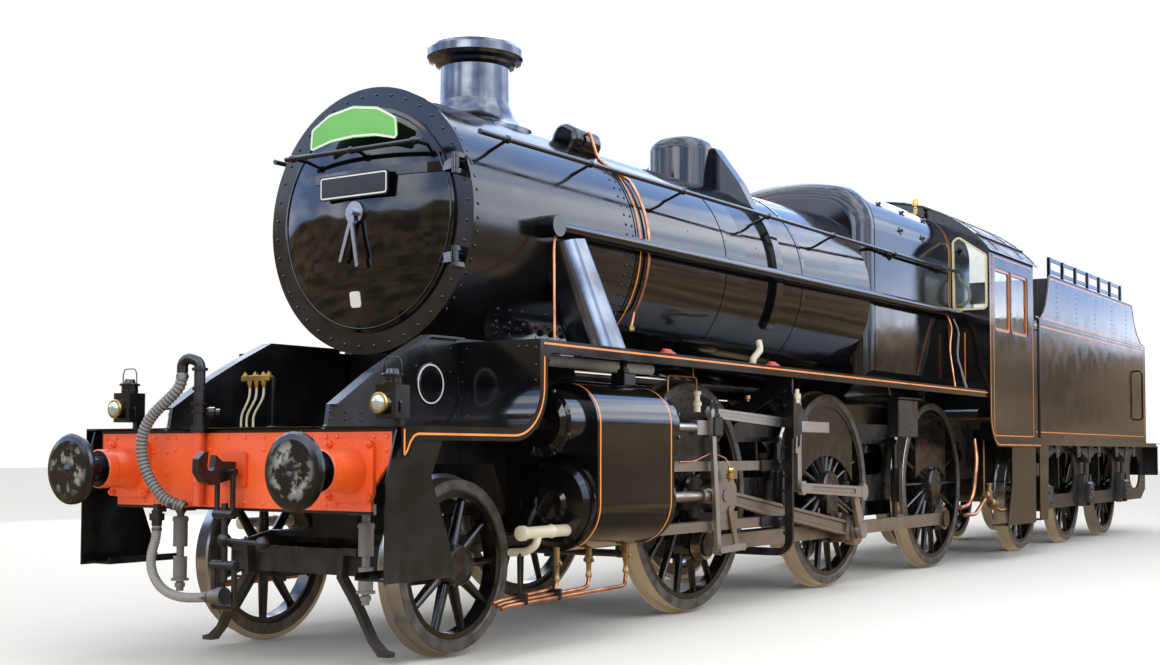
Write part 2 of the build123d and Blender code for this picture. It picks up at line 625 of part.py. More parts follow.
# Chimney: cast, with a deep lip, a plain stack and a skirt that fits the curve of the smokebox.
STACK = 239.0
LIP = 333.0
SKIRT = 400.0
skirt_seat = BOILER_HEIGHT + SMOKEBOX_RADIUS
with BuildSketch() as chimney_section:
    with BuildLine():
        Polyline((CHIMNEY_BORE, CHIMNEY_TOP - 35), (CHIMNEY_BORE, skirt_seat - 160),
                 (SKIRT, skirt_seat - 160),
                 (SKIRT, skirt_seat - 70))
        ThreePointArc((SKIRT, skirt_seat - 70), (STACK + 48, skirt_seat + 22),
                      (STACK + 4, skirt_seat + 130))
        Polyline((STACK + 4, skirt_seat + 130), (STACK, CHIMNEY_TOP - 185), (STACK + 30, CHIMNEY_TOP - 167),
                 (STACK + 42, CHIMNEY_TOP - 150), (LIP - 16, CHIMNEY_TOP - 133), (LIP, CHIMNEY_TOP - 110),
                 (LIP, CHIMNEY_TOP - 60), (LIP - 20, CHIMNEY_TOP - 35), (LIP - 60, CHIMNEY_TOP - 12),
                 (LIP - 90, CHIMNEY_TOP), (CHIMNEY_BORE + 40, CHIMNEY_TOP),
                 (CHIMNEY_BORE, CHIMNEY_TOP - 35))
    make_face()
chimney = Pos(0, CHIMNEY, 0) * revolve(Plane.XZ * chimney_section.sketch, Axis.Z)
drum_cutter = bar_y(CHIMNEY - 600, CHIMNEY + 600, 0, BOILER_HEIGHT, SMOKEBOX_RADIUS + SEAT)
save("chimney", chimney - drum_cutter)

# Saddle under the smokebox, a hollow casting bolted between the frames.
saddle_face = outline((-FRAME_OUTSIDE + FRAME_PLATE + SEAT, 1500), (-560, 2000), (560, 2000),
                      (FRAME_OUTSIDE - FRAME_PLATE - SEAT, 1500))
saddle = front_plate(saddle_face, 1980, 2920)
saddle -= front_plate(Pos(0, 1560) * Rectangle(1000, 240), 1960, 2900)
flange_ring = Pos(0, BOILER_HEIGHT) * (Circle(SMOKEBOX_RADIUS + 26) - Circle(SMOKEBOX_RADIUS - 10))
flange_ring = flange_ring & (Pos(0, 1900) * Rectangle(2000, 520))
saddle += front_plate(flange_ring, 1950, 2950)
saddle -= bar_y(1500, 3500, 0, BOILER_HEIGHT, SMOKEBOX_RADIUS + SEAT)
save("smokebox_saddle", saddle)

# Boiler barrel in its cladding: straight behind the smokebox, then widening towards the firebox.
def barrel_radius(s):
    share = max(0.0, (s - BARREL_MIDDLE) / (FIREBOX_FRONT - BARREL_MIDDLE))
    return BARREL_FRONT_RADIUS + share * (BARREL_REAR_RADIUS - BARREL_FRONT_RADIUS)


def barrel_height(s):
    share = max(0.0, (s - BARREL_MIDDLE) / (FIREBOX_FRONT - BARREL_MIDDLE))
    return BOILER_HEIGHT + share * (BARREL_REAR_HEIGHT - BOILER_HEIGHT)


def barrel_circle(s, extra=0.0):
    centre = Plane(origin=(0, s, barrel_height(s)), x_dir=(1, 0, 0), z_dir=(0, 1, 0))
    return centre * Circle(barrel_radius(s) + extra)


BAND_WIDTH = 62.0
BAND_THICKNESS = 4.0
BANDS = [3364.0, 4660.0, 5960.0]


def barrel_shape(extra=0.0):
    """The barrel with the bands that hold its cladding, all larger in radius by extra."""
    shape = bar_y(SMOKEBOX_REAR, BARREL_MIDDLE, 0, BOILER_HEIGHT, BARREL_FRONT_RADIUS + extra)
    shape += loft([barrel_circle(BARREL_MIDDLE, extra), barrel_circle(FIREBOX_FRONT, extra)])
    for s in BANDS:
        shape += extrude(barrel_circle(s, BAND_THICKNESS + extra), BAND_WIDTH)
    return shape


save("boiler_barrel", barrel_shape())

# Firebox with its flat top and round shoulders, wide above the frames and narrow between them.
FIREBOX_WAIST = 560.0
SHOULDER = 470.0
FIREBOX_BOTTOM = 1180.0


def firebox_section(inset=0.0):
    half = FIREBOX_HALF_WIDTH - inset
    top = FIREBOX_TOP - inset
    with BuildSketch() as section:
        with BuildLine():
            Polyline((0, FIREBOX_BOTTOM + inset), (FIREBOX_WAIST - inset, FIREBOX_BOTTOM + inset),
                     (FIREBOX_WAIST - inset, 1640), (half, 1960), (half, FIREBOX_TOP - 510))
            ThreePointArc((half, FIREBOX_TOP - 510), (half - 95, FIREBOX_TOP - 220), (SHOULDER, top - 50))
            ThreePointArc((SHOULDER, top - 50), (SHOULDER / 2, top - 12), (0, top))
            Line((0, top), (0, FIREBOX_BOTTOM + inset))
        make_face()
    return section.sketch + mirror(section.sketch, Plane.YZ)


firebox = front_plate(firebox_section(), FIREBOX_FRONT, BACKHEAD)
front_edges = [edge for edge in firebox.edges()
               if abs(edge.center().Y - FIREBOX_FRONT) < 1 and edge.center().Z > 2000]
firebox = fillet(front_edges, 170)
BAND_PLACE = FIREBOX_FRONT + 200
band_face = firebox_section(-BAND_THICKNESS) & (Pos(0, 2900) * Rectangle(3000, 1900))
firebox += front_plate(band_face, BAND_PLACE, BAND_PLACE + BAND_WIDTH)
ashpan = block(-460, 460, 6900, 8900, 560, FIREBOX_BOTTOM - SEAT)
save("firebox", firebox, ashpan)
firebox_cutter = front_plate(firebox_section(-SEAT), FIREBOX_FRONT - SEAT, BACKHEAD)
running_plates = [plate - firebox_cutter for plate in running_plates]
save("running_plates", *running_plates, middle_platform, *both_sides(valance))

# Top feed: a dome on the barrel, with a cover over its two pipes that slopes from the dome to the sides
# of the barrel and follows them down.
FEED_TOP = BOILER_HEIGHT + 1225
FEED_PIPE = TOP_FEED + 45
FEED_PIPE_WIDTH = 125.0
FEED_PIPE_RISE = 38.0
top_feed = flat_plate(Pos(0, TOP_FEED) * RectangleRounded(540, 570, 260), FEED_TOP - 480, FEED_TOP)
top_feed = fillet(top_feed.edges().group_by(Axis.Z)[-1], 120)
feed_slope = outline((-290, FEED_TOP - 90), (290, FEED_TOP - 90), (524, FEED_TOP - 405), (655, FEED_TOP - 645),
                     (-655, FEED_TOP - 645), (-524, FEED_TOP - 405))
top_feed += front_plate(feed_slope, FEED_PIPE, FEED_PIPE + FEED_PIPE_WIDTH)
feed_plane = Plane(origin=(0, FEED_PIPE, barrel_height(FEED_PIPE)), x_dir=(1, 0, 0), z_dir=(0, 1, 0))
feed_ring = feed_plane * Circle(barrel_radius(FEED_PIPE + FEED_PIPE_WIDTH) + FEED_PIPE_RISE)
feed_pipes = extrude(feed_ring, FEED_PIPE_WIDTH)
feed_pipes &= block(-1000, 1000, 0, 9000, BOILER_HEIGHT - 420, BOILER_HEIGHT + 1080)
top_feed = top_feed.fuse(feed_pipes) - barrel_shape(SEAT)

# Rounded casing of the snifting valve on the left shoulder of the smokebox.
AIR_VALVE = 3205.0
AIR_VALVE_TURN = 28.0       # degrees from the top of the smokebox
valve_rise = SMOKEBOX_RADIUS + 40
valve_x = valve_rise * sin(radians(AIR_VALVE_TURN))
valve_z = BOILER_HEIGHT + valve_rise * cos(radians(AIR_VALVE_TURN))
valve_face = Pos(valve_x, valve_z) * Rot(0, 0, -AIR_VALVE_TURN) * RectangleRounded(250, 210, 90)
air_valve = front_plate(valve_face, AIR_VALVE - 165, AIR_VALVE + 165)
air_valve = fillet(air_valve.edges().group_by(Axis.Y)[0] + air_valve.edges().group_by(Axis.Y)[-1], 60)
air_valve -= bar_y(SMOKEBOX_FRONT, SMOKEBOX_REAR, 0, BOILER_HEIGHT, SMOKEBOX_RADIUS + SEAT) + barrel_shape(SEAT)
save("boiler_casings", top_feed, air_valve)

# Safety valves and whistle on the firebox.
valves = []
for s in (8480.0, 8740.0):
    valve = Pos(0, s, 0) * revolve(Plane.XZ * make_face(Polyline(
        (0, FIREBOX_TOP - 40), (85, FIREBOX_TOP - 40), (85, FIREBOX_TOP + 14), (52, FIREBOX_TOP + 24),
        (52, FIREBOX_TOP + 92), (40, FIREBOX_TOP + 104), (0, FIREBOX_TOP + 104), close=True)), Axis.Z)
    valves.append(valve - front_plate(firebox_section(), 8000, 9500))
WHISTLE_X = 520.0
whistle = Pos(WHISTLE_X, CAB_FRONT - 160, 0) * revolve(Plane.XZ * make_face(Polyline(
    (0, FIREBOX_TOP - 200), (24, FIREBOX_TOP - 200), (24, FIREBOX_TOP), (16, FIREBOX_TOP + 10),
    (16, FIREBOX_TOP + 30), (34, FIREBOX_TOP + 36), (34, FIREBOX_TOP + 100), (10, FIREBOX_TOP + 112),
    (0, FIREBOX_TOP + 112), close=True)), Axis.Z)
whistle -= front_plate(firebox_section(-SEAT), 8000, CAB_FRONT)
save("valves_and_whistle", *valves, whistle)

# Handrails along the boiler on turned pillars, and the large ejector pipe below the left one.
RAIL_FRONT = (850.0, SMOKEBOX_FRONT + 30, BOILER_HEIGHT + 465)
RAIL_REAR = (930.0, CAB_FRONT - SEAT, BOILER_HEIGHT + 490)
PILLARS = [1800.0, 2700.0, 3900.0, 5250.0, 6500.0, 7900.0, 9200.0]


def rail_point(s):
    share = (s - RAIL_FRONT[1]) / (RAIL_REAR[1] - RAIL_FRONT[1])
    return [a + share * (b - a) for a, b in zip(RAIL_FRONT, RAIL_REAR)]


def surface_point(s, height, gap):
    """Where the boiler's side is at this station and height."""
    if s > FIREBOX_FRONT + 200:
        return FIREBOX_HALF_WIDTH + gap
    if s < SMOKEBOX_REAR:
        return sqrt((SMOKEBOX_RADIUS + gap) ** 2 - (height - BOILER_HEIGHT) ** 2)
    return sqrt((barrel_radius(s) + gap) ** 2 - (height - barrel_height(s)) ** 2)


def tube_between(a, b, radius):
    a = Vector(*a)
    b = Vector(*b)
    return Solid.make_cylinder(radius, (b - a).length, Plane(origin=a, z_dir=b - a))


boiler_cutter = bar_y(SMOKEBOX_FRONT, SMOKEBOX_REAR, 0, BOILER_HEIGHT, SMOKEBOX_RADIUS + SEAT)
boiler_cutter += barrel_shape(SEAT)
boiler_cutter += front_plate(firebox_section(-SEAT), FIREBOX_FRONT, BACKHEAD)
rail = tube_between(RAIL_FRONT, RAIL_REAR, 17)
for s in PILLARS:
    x, y, z = rail_point(s)
    foot_z = z - 60
    rail = rail.fuse(tube_between((surface_point(s, foot_z, -3), s, foot_z), (x, s, z), 12),
                     Pos(x, s, z) * Sphere(27))
rail -= boiler_cutter
save("handrails", *both_sides(rail))

EJECTOR_FRONT = (905.0, 2210.0, BOILER_HEIGHT - 14)
EJECTOR_REAR = (970.0, CAB_FRONT - 3, BOILER_HEIGHT + 30)
ejector = tube_between(EJECTOR_FRONT, EJECTOR_REAR, 44)
x, s, z = EJECTOR_FRONT
ejector = ejector.fuse(tube_between((surface_point(s, z, -8), s, z), (x + 50, s, z), 70))
for s in (3400.0, 4900.0, 6400.0, 8000.0, 9300.0):
    share = (s - EJECTOR_FRONT[1]) / (EJECTOR_REAR[1] - EJECTOR_FRONT[1])
    x, y, z = [a + share * (b - a) for a, b in zip(EJECTOR_FRONT, EJECTOR_REAR)]
    ejector = ejector.fuse(block(surface_point(s, z, -3), x, s - 14, s + 14, z - 10, z + 10))
ejector -= boiler_cutter
save("ejector_pipe", ejector)

# Casings over the steam pipes, from the smokebox sides down to the valve chests.
casing_head = Plane(origin=(790, 2440, BOILER_HEIGHT - 104), x_dir=(1, 0, 0), z_dir=(-0.22, -0.14, 1))
casing_top = casing_head * RectangleRounded(330, 270, 90)
casing_foot = Plane(origin=(985, 2610, PLATE_TOP), x_dir=(1, 0, 0)) * RectangleRounded(320, 330, 100)
steam_casing = loft([casing_foot, casing_top])
steam_casing -= bar_y(1500, 3500, 0, BOILER_HEIGHT, SMOKEBOX_RADIUS + SEAT)
save("steam_pipe_casings", *both_sides(steam_casing.solids().sort_by(Axis.X)[-1]))

# Cylinders outside the frames, each with its piston valve chest above, in one cladding.
def cylinder_face(grow=0.0):
    face = Pos(CYLINDER_SPREAD, CYLINDER_HEIGHT) * Circle(CLADDING_RADIUS + grow)
    face += Pos(VALVE_SPREAD, VALVE_HEIGHT) * Circle(VALVE_RADIUS + grow)
    outside = CYLINDER_SPREAD + CLADDING_RADIUS + grow
    inside = FRAME_OUTSIDE + SEAT
    face += Pos((900 + outside) / 2, (CYLINDER_HEIGHT + VALVE_HEIGHT) / 2) * Rectangle(
        outside - 900, VALVE_HEIGHT - CYLINDER_HEIGHT)
    face += Pos((inside + 1000) / 2, 1120) * Rectangle(1000 - inside, 880)
    return face


PISTON_ROD = 39.0
cylinder = front_plate(cylinder_face(), CYLINDER_FRONT, CYLINDER_REAR)
cylinder += lathe_y(CYLINDER_SPREAD, 0, CYLINDER_HEIGHT, [
    (0, CYLINDER_FRONT - 96), (90, CYLINDER_FRONT - 96), (118, CYLINDER_FRONT - 82),
    (230, CYLINDER_FRONT - 66), (262, CYLINDER_FRONT - 40), (262, CYLINDER_FRONT - 24),
    (286, CYLINDER_FRONT - 20), (286, CYLINDER_FRONT + 1), (0, CYLINDER_FRONT + 1),
])
cylinder += lathe_y(VALVE_SPREAD, 0, VALVE_HEIGHT, [
    (0, CYLINDER_FRONT - 330), (42, CYLINDER_FRONT - 330), (52, CYLINDER_FRONT - 318),
    (52, CYLINDER_FRONT - 262), (150, CYLINDER_FRONT - 252), (184, CYLINDER_FRONT - 236),
    (184, CYLINDER_FRONT - 222), (205, CYLINDER_FRONT - 214), (205, CYLINDER_FRONT + 1),
    (0, CYLINDER_FRONT + 1),
])
cylinder += lathe_y(VALVE_SPREAD, 0, VALVE_HEIGHT, [
    (0, CYLINDER_REAR - 1), (205, CYLINDER_REAR - 1), (205, CYLINDER_REAR + 150),
    (184, CYLINDER_REAR + 158), (150, CYLINDER_REAR + 172), (80, CYLINDER_REAR + 176),
    (80, CYLINDER_REAR + 250), (0, CYLINDER_REAR + 250),
])
cylinder += lathe_y(CYLINDER_SPREAD, 0, CYLINDER_HEIGHT, [
    (0, CYLINDER_REAR - 1), (286, CYLINDER_REAR - 1), (286, CYLINDER_REAR + 30), (150, CYLINDER_REAR + 46),
    (100, CYLINDER_REAR + 50), (100, CYLINDER_REAR + 120), (0, CYLINDER_REAR + 120),
])
BAR_INSIDE = 180.0          # from the cylinder's axis to the face of each slide bar
BAR_DEPTH = 70.0
BAR_WIDTH = 96.0
BAR_FRONT = CYLINDER_REAR + 60.0
BAR_REAR = 4790.0
BAR_HEIGHTS = [CYLINDER_HEIGHT - BAR_INSIDE - BAR_DEPTH / 2, CYLINDER_HEIGHT + BAR_INSIDE + BAR_DEPTH / 2]
for z in BAR_HEIGHTS:
    cylinder += block(CYLINDER_SPREAD - 60, CYLINDER_SPREAD + 60, CYLINDER_REAR - 1, BAR_FRONT - SEAT,
                      z - 42, z + 42)
gland = PISTON_ROD + PIN_CLEARANCE
cylinder -= bar_y(2500, CYLINDER_REAR + 130, CYLINDER_SPREAD, CYLINDER_HEIGHT, gland)
SPINDLE = 30.0
valve_gland = SPINDLE + PIN_CLEARANCE
cylinder -= bar_y(CYLINDER_REAR + 60, CYLINDER_REAR + 251, VALVE_SPREAD, VALVE_HEIGHT, valve_gland)
save("cylinders", *both_sides(cylinder))

# Slide bars above and below each piston rod, bolted to the cylinder cover and the motion bracket.
bars = []
for z in BAR_HEIGHTS:
    bar = block(CYLINDER_SPREAD - BAR_WIDTH / 2, CYLINDER_SPREAD + BAR_WIDTH / 2, BAR_FRONT, BAR_REAR,
                z - BAR_DEPTH / 2, z + BAR_DEPTH / 2)
    bars += both_sides(chamfer(bar.edges().filter_by(Axis.X), 12))
save("slide_bars", *bars)

# Rods and valve gear, each side drawn in side view at the angle of its own crank.
ROD_X0 = CYLINDER_SPREAD - 27
ROD_X1 = CYLINDER_SPREAD + 27
CHEEK = 22.0
LEVER_X0 = 1112.0
LEVER_X1 = 1142.0
VALVE_PIN = 3870.0
RADIUS_PIN_RISE = 110.0
LINK_PLACE = 5190.0
LINK_HEIGHT = 1415.0
LINK_TAIL = 510.0
RETURN_THROW = 152.0
RETURN_TURN = 83.0          # degrees that the return crank pin trails the main crank pin
ECCENTRIC_ROD = 1210.0


def turned(radius, degrees_from_down):
    """A point on a circle about the driving axle, from straight down towards the rear."""
    angle = radians(degrees_from_down)
    return DRIVING_AXLE + radius * sin(angle), COUPLED_HEIGHT - radius * cos(angle)


def fluted_rod(a, b, depth_a, depth_b, x0, x1, flute):
    """A rod between two pins, deeper at one end, with a long groove in each face."""
    (sa, za), (sb, zb) = a, b
    length = hypot(sb - sa, zb - za)
    turn = degrees(atan2(zb - za, sb - sa))
    place = Pos(sa, za) * Rot(0, 0, turn)
    body = outline((0, -depth_a / 2), (length, -depth_b / 2), (length, depth_b / 2), (0, depth_a / 2))
    groove = outline((150, -depth_a / 2 + 20), (length - 190, -depth_b / 2 + 24),
                     (length - 190, depth_b / 2 - 24), (150, depth_a / 2 - 20))
    groove = fillet(groove.vertices(), 14)
    rod = side_plate(place * body, x0, x1)
    rod -= side_plate(place * groove, x0 - 1, x0 + flute)
    return rod - side_plate(place * groove, x1 - flute, x1 + 1)


def motion_side(turn):
    """Crosshead, connecting rod and valve gear of one side, with its main crank at this angle."""
    big_s, big_z = turned(CRANK_THROW, turn)
    gudgeon = big_s - sqrt(CONNECTING_ROD ** 2 - (big_z - CYLINDER_HEIGHT) ** 2)
    eccentric_s, eccentric_z = turned(RETURN_THROW, turn - RETURN_TURN)
    # crosshead: two cheeks on a body between the slide bars, with the piston rod in its nose
    cheek_face = outline((gudgeon - 200, CYLINDER_HEIGHT - 70), (gudgeon - 110, CYLINDER_HEIGHT - 120),
                         (gudgeon + 120, CYLINDER_HEIGHT - 120), (gudgeon + 170, CYLINDER_HEIGHT - 60),
                         (gudgeon + 170, CYLINDER_HEIGHT + 60), (gudgeon + 120, CYLINDER_HEIGHT + 120),
                         (gudgeon - 110, CYLINDER_HEIGHT + 120), (gudgeon - 200, CYLINDER_HEIGHT + 70))
    cross = side_plate(cheek_face, CYLINDER_SPREAD - 55, CYLINDER_SPREAD + 55)
    for direction in (-1, 1):
        face = CYLINDER_HEIGHT + direction * (BAR_INSIDE - SEAT)
        shoe = CYLINDER_HEIGHT + direction * 119
        cross += block(CYLINDER_SPREAD - 52, CYLINDER_SPREAD + 52, gudgeon - 190, gudgeon + 190,
                       min(face, shoe), max(face, shoe))
    cross -= block(ROD_X0 - 8, ROD_X1 + 8, gudgeon - 105, gudgeon + 300,
                   CYLINDER_HEIGHT - 112, CYLINDER_HEIGHT + 112)
    cross += bar_y(gudgeon - 1450, gudgeon - 190, CYLINDER_SPREAD, CYLINDER_HEIGHT, PISTON_ROD)
    nose = [(0, -300), (58, -300), (72, -199), (0, -199)]
    cross += lathe_y(CYLINDER_SPREAD, gudgeon, CYLINDER_HEIGHT, nose)
    cross += bar_x(CYLINDER_SPREAD - 64, CYLINDER_SPREAD + 62, gudgeon, CYLINDER_HEIGHT, 44)
    arm = slot_between(gudgeon + 60, CYLINDER_HEIGHT - 110, gudgeon + 165, 492, 30)
    cross += side_plate(arm, CYLINDER_SPREAD + 51, CYLINDER_SPREAD + 66)
    # connecting rod
    small_end = (gudgeon, CYLINDER_HEIGHT)
    big_end = (big_s, big_z)
    main_rod = fluted_rod(small_end, big_end, 96.0, 128.0, ROD_X0, ROD_X1, 16.0)
    main_rod += bar_x(ROD_X0 - 2, ROD_X1 + 2, gudgeon, CYLINDER_HEIGHT, 92)
    main_rod += bar_x(ROD_X0 - 22, ROD_X1 + 22, big_s, big_z, 128)
    slope = degrees(atan2(big_z - CYLINDER_HEIGHT, big_s - gudgeon))
    strap_ends = Pos(big_s, big_z) * Rot(0, 0, slope) * Pos(-40, 0) * Rectangle(320, 190)
    main_rod += side_plate(strap_ends, ROD_X0 - 6, ROD_X1 + 6)
    main_rod -= bar_x(900, 1200, gudgeon, CYLINDER_HEIGHT, 44 + SEAT)
    main_rod -= bar_x(900, 1200, big_s, big_z, PIN_RADIUS + SEAT)
    # outer journal of the crank pin with the return crank keyed on it
    journal_start = COUPLING_OUTSIDE + COLLAR_GAP + COLLAR + RUNNING_CLEARANCE
    journal = bar_x(journal_start, 1100, big_s, big_z, PIN_RADIUS)
    arm = slot_between(big_s, big_z, eccentric_s, eccentric_z, 50)
    journal += side_plate(arm, 1100, 1136)
    journal += bar_x(1100, 1150, big_s, big_z, 70) + bar_x(1130, 1196, eccentric_s, eccentric_z, 34)
    # expansion link, rocked by the eccentric rod
    rock = 0.0
    for _ in range(20):
        tail_s = LINK_PLACE + LINK_TAIL * sin(rock)
        tail_z = LINK_HEIGHT - LINK_TAIL * cos(rock)
        rock += (hypot(eccentric_s - tail_s, eccentric_z - tail_z) - ECCENTRIC_ROD) / LINK_TAIL
    radius_rod = LINK_PLACE - VALVE_PIN
    curve = Pos(-radius_rod, 0) * (Circle(radius_rod + 48) - Circle(radius_rod - 48))
    curve = curve & Rectangle(200, 470)
    gap = Pos(-radius_rod, 0) * (Circle(radius_rod + 24) - Circle(radius_rod - 24)) & Rectangle(200, 390)
    link = curve - gap + slot_between(0, -215, 0, -LINK_TAIL, 34)
    link = side_plate(Pos(LINK_PLACE, LINK_HEIGHT) * Rot(0, 0, degrees(rock)) * link, 1146, 1184)
    link += bar_x(1146, 1204, LINK_PLACE, LINK_HEIGHT, 30) + block(
        1146, 1184, LINK_PLACE - 23, LINK_PLACE + 23, LINK_HEIGHT - 34, LINK_HEIGHT + 34)
    link -= bar_x(1140, 1200, tail_s, tail_z, 26 + SEAT)
    rod = fluted_rod((tail_s, tail_z), (eccentric_s, eccentric_z), 78.0, 92.0, 1188, 1222, 10.0)
    rod += bar_x(1186, 1224, tail_s, tail_z, 56) + bar_x(1186, 1224, eccentric_s, eccentric_z, 72)
    rod += bar_x(1140, 1190, tail_s, tail_z, 26)
    rod -= bar_x(1150, 1200, eccentric_s, eccentric_z, 34 + SEAT)
    # combination lever, union link, radius rod and valve spindle
    low_s, low_z = gudgeon - 175, 486.0
    lean = (low_s - VALVE_PIN) / (VALVE_HEIGHT - low_z)
    top_s, top_z = VALVE_PIN - lean * RADIUS_PIN_RISE, VALVE_HEIGHT + RADIUS_PIN_RISE
    lever = side_plate(slot_between(low_s, low_z, top_s, top_z, 27), LEVER_X0, LEVER_X1)
    lever += bar_x(LEVER_X0 - 10, LEVER_X1 + 8, low_s, low_z, 38)
    union = side_plate(slot_between(low_s, low_z - 1, gudgeon + 165, 492, 24), LEVER_X1 + 2, LEVER_X1 + 22)
    union += bar_x(CYLINDER_SPREAD + 66 + SEAT, LEVER_X1 + 22, gudgeon + 165, 492, 28)
    lever = lever.fuse(union)
    radius = fluted_rod((top_s, top_z), (LINK_PLACE, LINK_HEIGHT), 70.0, 78.0, 1096, LEVER_X0 - SEAT, 4.0)
    radius += bar_x(1096, LEVER_X0 - SEAT, top_s, top_z, 46)
    radius += bar_x(1096, 1146 - SEAT, LINK_PLACE, LINK_HEIGHT, 46)
    spindle = bar_y(CYLINDER_REAR + 70, VALVE_PIN - 60, VALVE_SPREAD, VALVE_HEIGHT, SPINDLE)
    spindle += block(VALVE_SPREAD - 40, VALVE_SPREAD + 30, VALVE_PIN - 180, VALVE_PIN + 50,
                     VALVE_HEIGHT - 52, VALVE_HEIGHT + 52)
    spindle = spindle - block(1094, 1150, 3000, 5000, VALVE_HEIGHT + 50, 1600)
    spindle += bar_x(VALVE_SPREAD + 20, LEVER_X0 - SEAT, VALVE_PIN, VALVE_HEIGHT, 24)
    return [cross], [main_rod], [journal, link, rod, lever, radius, spindle]


LEFT_TURN = 0.0
left_motion = motion_side(LEFT_TURN)
right_motion = motion_side(LEFT_TURN + RIGHT_LEAD)
for node, left, right in zip(("crossheads", "connecting_rods", "valve_gear"), left_motion, right_motion):
    save(node, *left, *[other_side(shape) for shape in right])

# Motion brackets: a loop right round the rods behind the leading coupled wheels.
BRACKET_S0 = 4996.0
BRACKET_S1 = 5024.0
BRACKET_BOTTOM = COUPLED_HEIGHT - CRANK_THROW - 130     # below the lowest place of the coupling rods
loop = outline((FRAME_OUTSIDE + SEAT, 730), (FRAME_OUTSIDE + SEAT, BRACKET_BOTTOM), (1215, BRACKET_BOTTOM),
               (1215, 1755), (1060, 1755), (700, 1560), (FRAME_OUTSIDE + SEAT, 1450))
hole = outline((700, BRACKET_BOTTOM + 60), (1150, BRACKET_BOTTOM + 60), (1150, 1600), (1040, 1600),
               (700, 1410))
loop = fillet([v for v in loop.vertices() if v.X > 1200 and v.Y < BRACKET_BOTTOM + 100], 150)
hole = fillet([v for v in hole.vertices()], 60)
bracket = front_plate(loop - hole, BRACKET_S0, BRACKET_S1)
for z in BAR_HEIGHTS:
    bracket += block(CYLINDER_SPREAD + BAR_WIDTH / 2 + SEAT, 1104, BAR_REAR - 95, BRACKET_S0 + 1,
                     z - 40, z + 40)
    bracket += block(1100, 1160, BRACKET_S0 - 100, BRACKET_S1, z - 40, z + 40)
ear = outline((BRACKET_S0, 1290), (5260, 1370), (5260, 1460), (BRACKET_S0, 1640))
bracket += side_plate(ear, 1204 + SEAT, 1230)
save("motion_brackets", *both_sides(bracket))

# Brake gear: a shoe on the front of each coupled wheel, hung from the frame, and its beams and rods.
SHOE_GAP = 7.0
BRAKE_BEAM_Z = 490.0
PULL_ROD_X = 190.0
PULL_ROD = 17.0
brakes = []
hangers = []
for place in COUPLED_AXLES:
    tread = COUPLED_TREAD / 2
    shoe = Circle(tread + SHOE_GAP + 58) - Circle(tread + SHOE_GAP)
    shoe = shoe & (Pos(-tread - 40, 0) * Rectangle(160, 330))
    hanger_s = place - tread - SHOE_GAP - 62
    hangers.append(hanger_s)
    side = side_plate(Pos(place, COUPLED_HEIGHT) * shoe, TYRE_INSIDE + 48, TYRE_OUTSIDE - 12)
    hanger = slot_between(hanger_s, 1290, hanger_s, BRAKE_BEAM_Z, 30)
    side += side_plate(hanger, TYRE_INSIDE + 66, TYRE_INSIDE + 96)
    side += bar_x(FRAME_OUTSIDE + SEAT, TYRE_INSIDE + 110, hanger_s, 1290, 24)
    side += bar_x(0, TYRE_INSIDE + 110, hanger_s, BRAKE_BEAM_Z, 26)
    side += block(PULL_ROD_X - 22, PULL_ROD_X + 22, hanger_s - 60, hanger_s + 60,
                  BRAKE_BEAM_Z - 40, BRAKE_BEAM_Z + 40)
    side -= bar_y(hanger_s - 100, hanger_s + 100, PULL_ROD_X, BRAKE_BEAM_Z, PULL_ROD + SEAT)
    brakes.append(side.fuse(other_side(side)))
pull_rods = both_sides(bar_y(hangers[0] - 60, hangers[-1] + 60, PULL_ROD_X, BRAKE_BEAM_Z, PULL_ROD))
save("brake_gear", *brakes, *pull_rods)

# Pony truck: a small frame inside its wheels on a triangular radius arm, with the guard irons at its front.
PONY_PIVOT = 3280.0
TRUCK_SIDE = 545.0
TRUCK_PLATE = 24.0
PIVOT_PIN = 36.0
truck_face = outline((930, 470), (930, 640), (1240, 700), (1520, 700), (1830, 640), (1830, 450), (1520, 430),
                     (1240, 430))
truck_side = side_plate(truck_face, TRUCK_SIDE - TRUCK_PLATE / 2, TRUCK_SIDE + TRUCK_PLATE / 2)
truck_side += block(TRUCK_SIDE - 60, TRUCK_SIDE + 40, PONY_AXLE - 120, PONY_AXLE + 120, 410, 660)
truck_side -= bar_x(0, 700, PONY_AXLE, PONY_HEIGHT, JOURNAL_RADIUS + PIN_CLEARANCE)
arm_sketch = outline((TRUCK_SIDE + 12, 1800), (TRUCK_SIDE + 12, 1900), (50, PONY_PIVOT),
                     (-30, PONY_PIVOT - 60),
                     (TRUCK_SIDE - 90, 1800))
arm = flat_plate(arm_sketch, 560, 610)
truck = truck_side + arm
truck = truck.fuse(other_side(truck))
truck = truck.fuse(block(-TRUCK_SIDE, TRUCK_SIDE, 935, 965, 480, 630),
                   block(-TRUCK_SIDE, TRUCK_SIDE, 1790, 1826, 470, 630),
                   flat_plate(Pos(0, PONY_PIVOT) * Circle(95), 545, 625),
                   block(-TRUCK_SIDE, TRUCK_SIDE, PONY_AXLE - 150, PONY_AXLE + 150, 668, 700),
                   block(-180, 180, PONY_AXLE - 150, PONY_AXLE + 150, 690, 860))
guard_face = outline((500, 640), (372, 640), (352, 470), (470, 318), (596, 122), (668, 50), (742, 50),
                     (742, 74), (690, 86), (622, 140), (498, 336), (392, 476), (404, 600), (500, 600))
guard = front_plate(guard_face, 880, 940)
truck = truck.fuse(guard, other_side(guard))
truck -= bar_z(400, 700, 0, PONY_PIVOT, PIVOT_PIN + PIN_CLEARANCE)
save("pony_truck", truck)

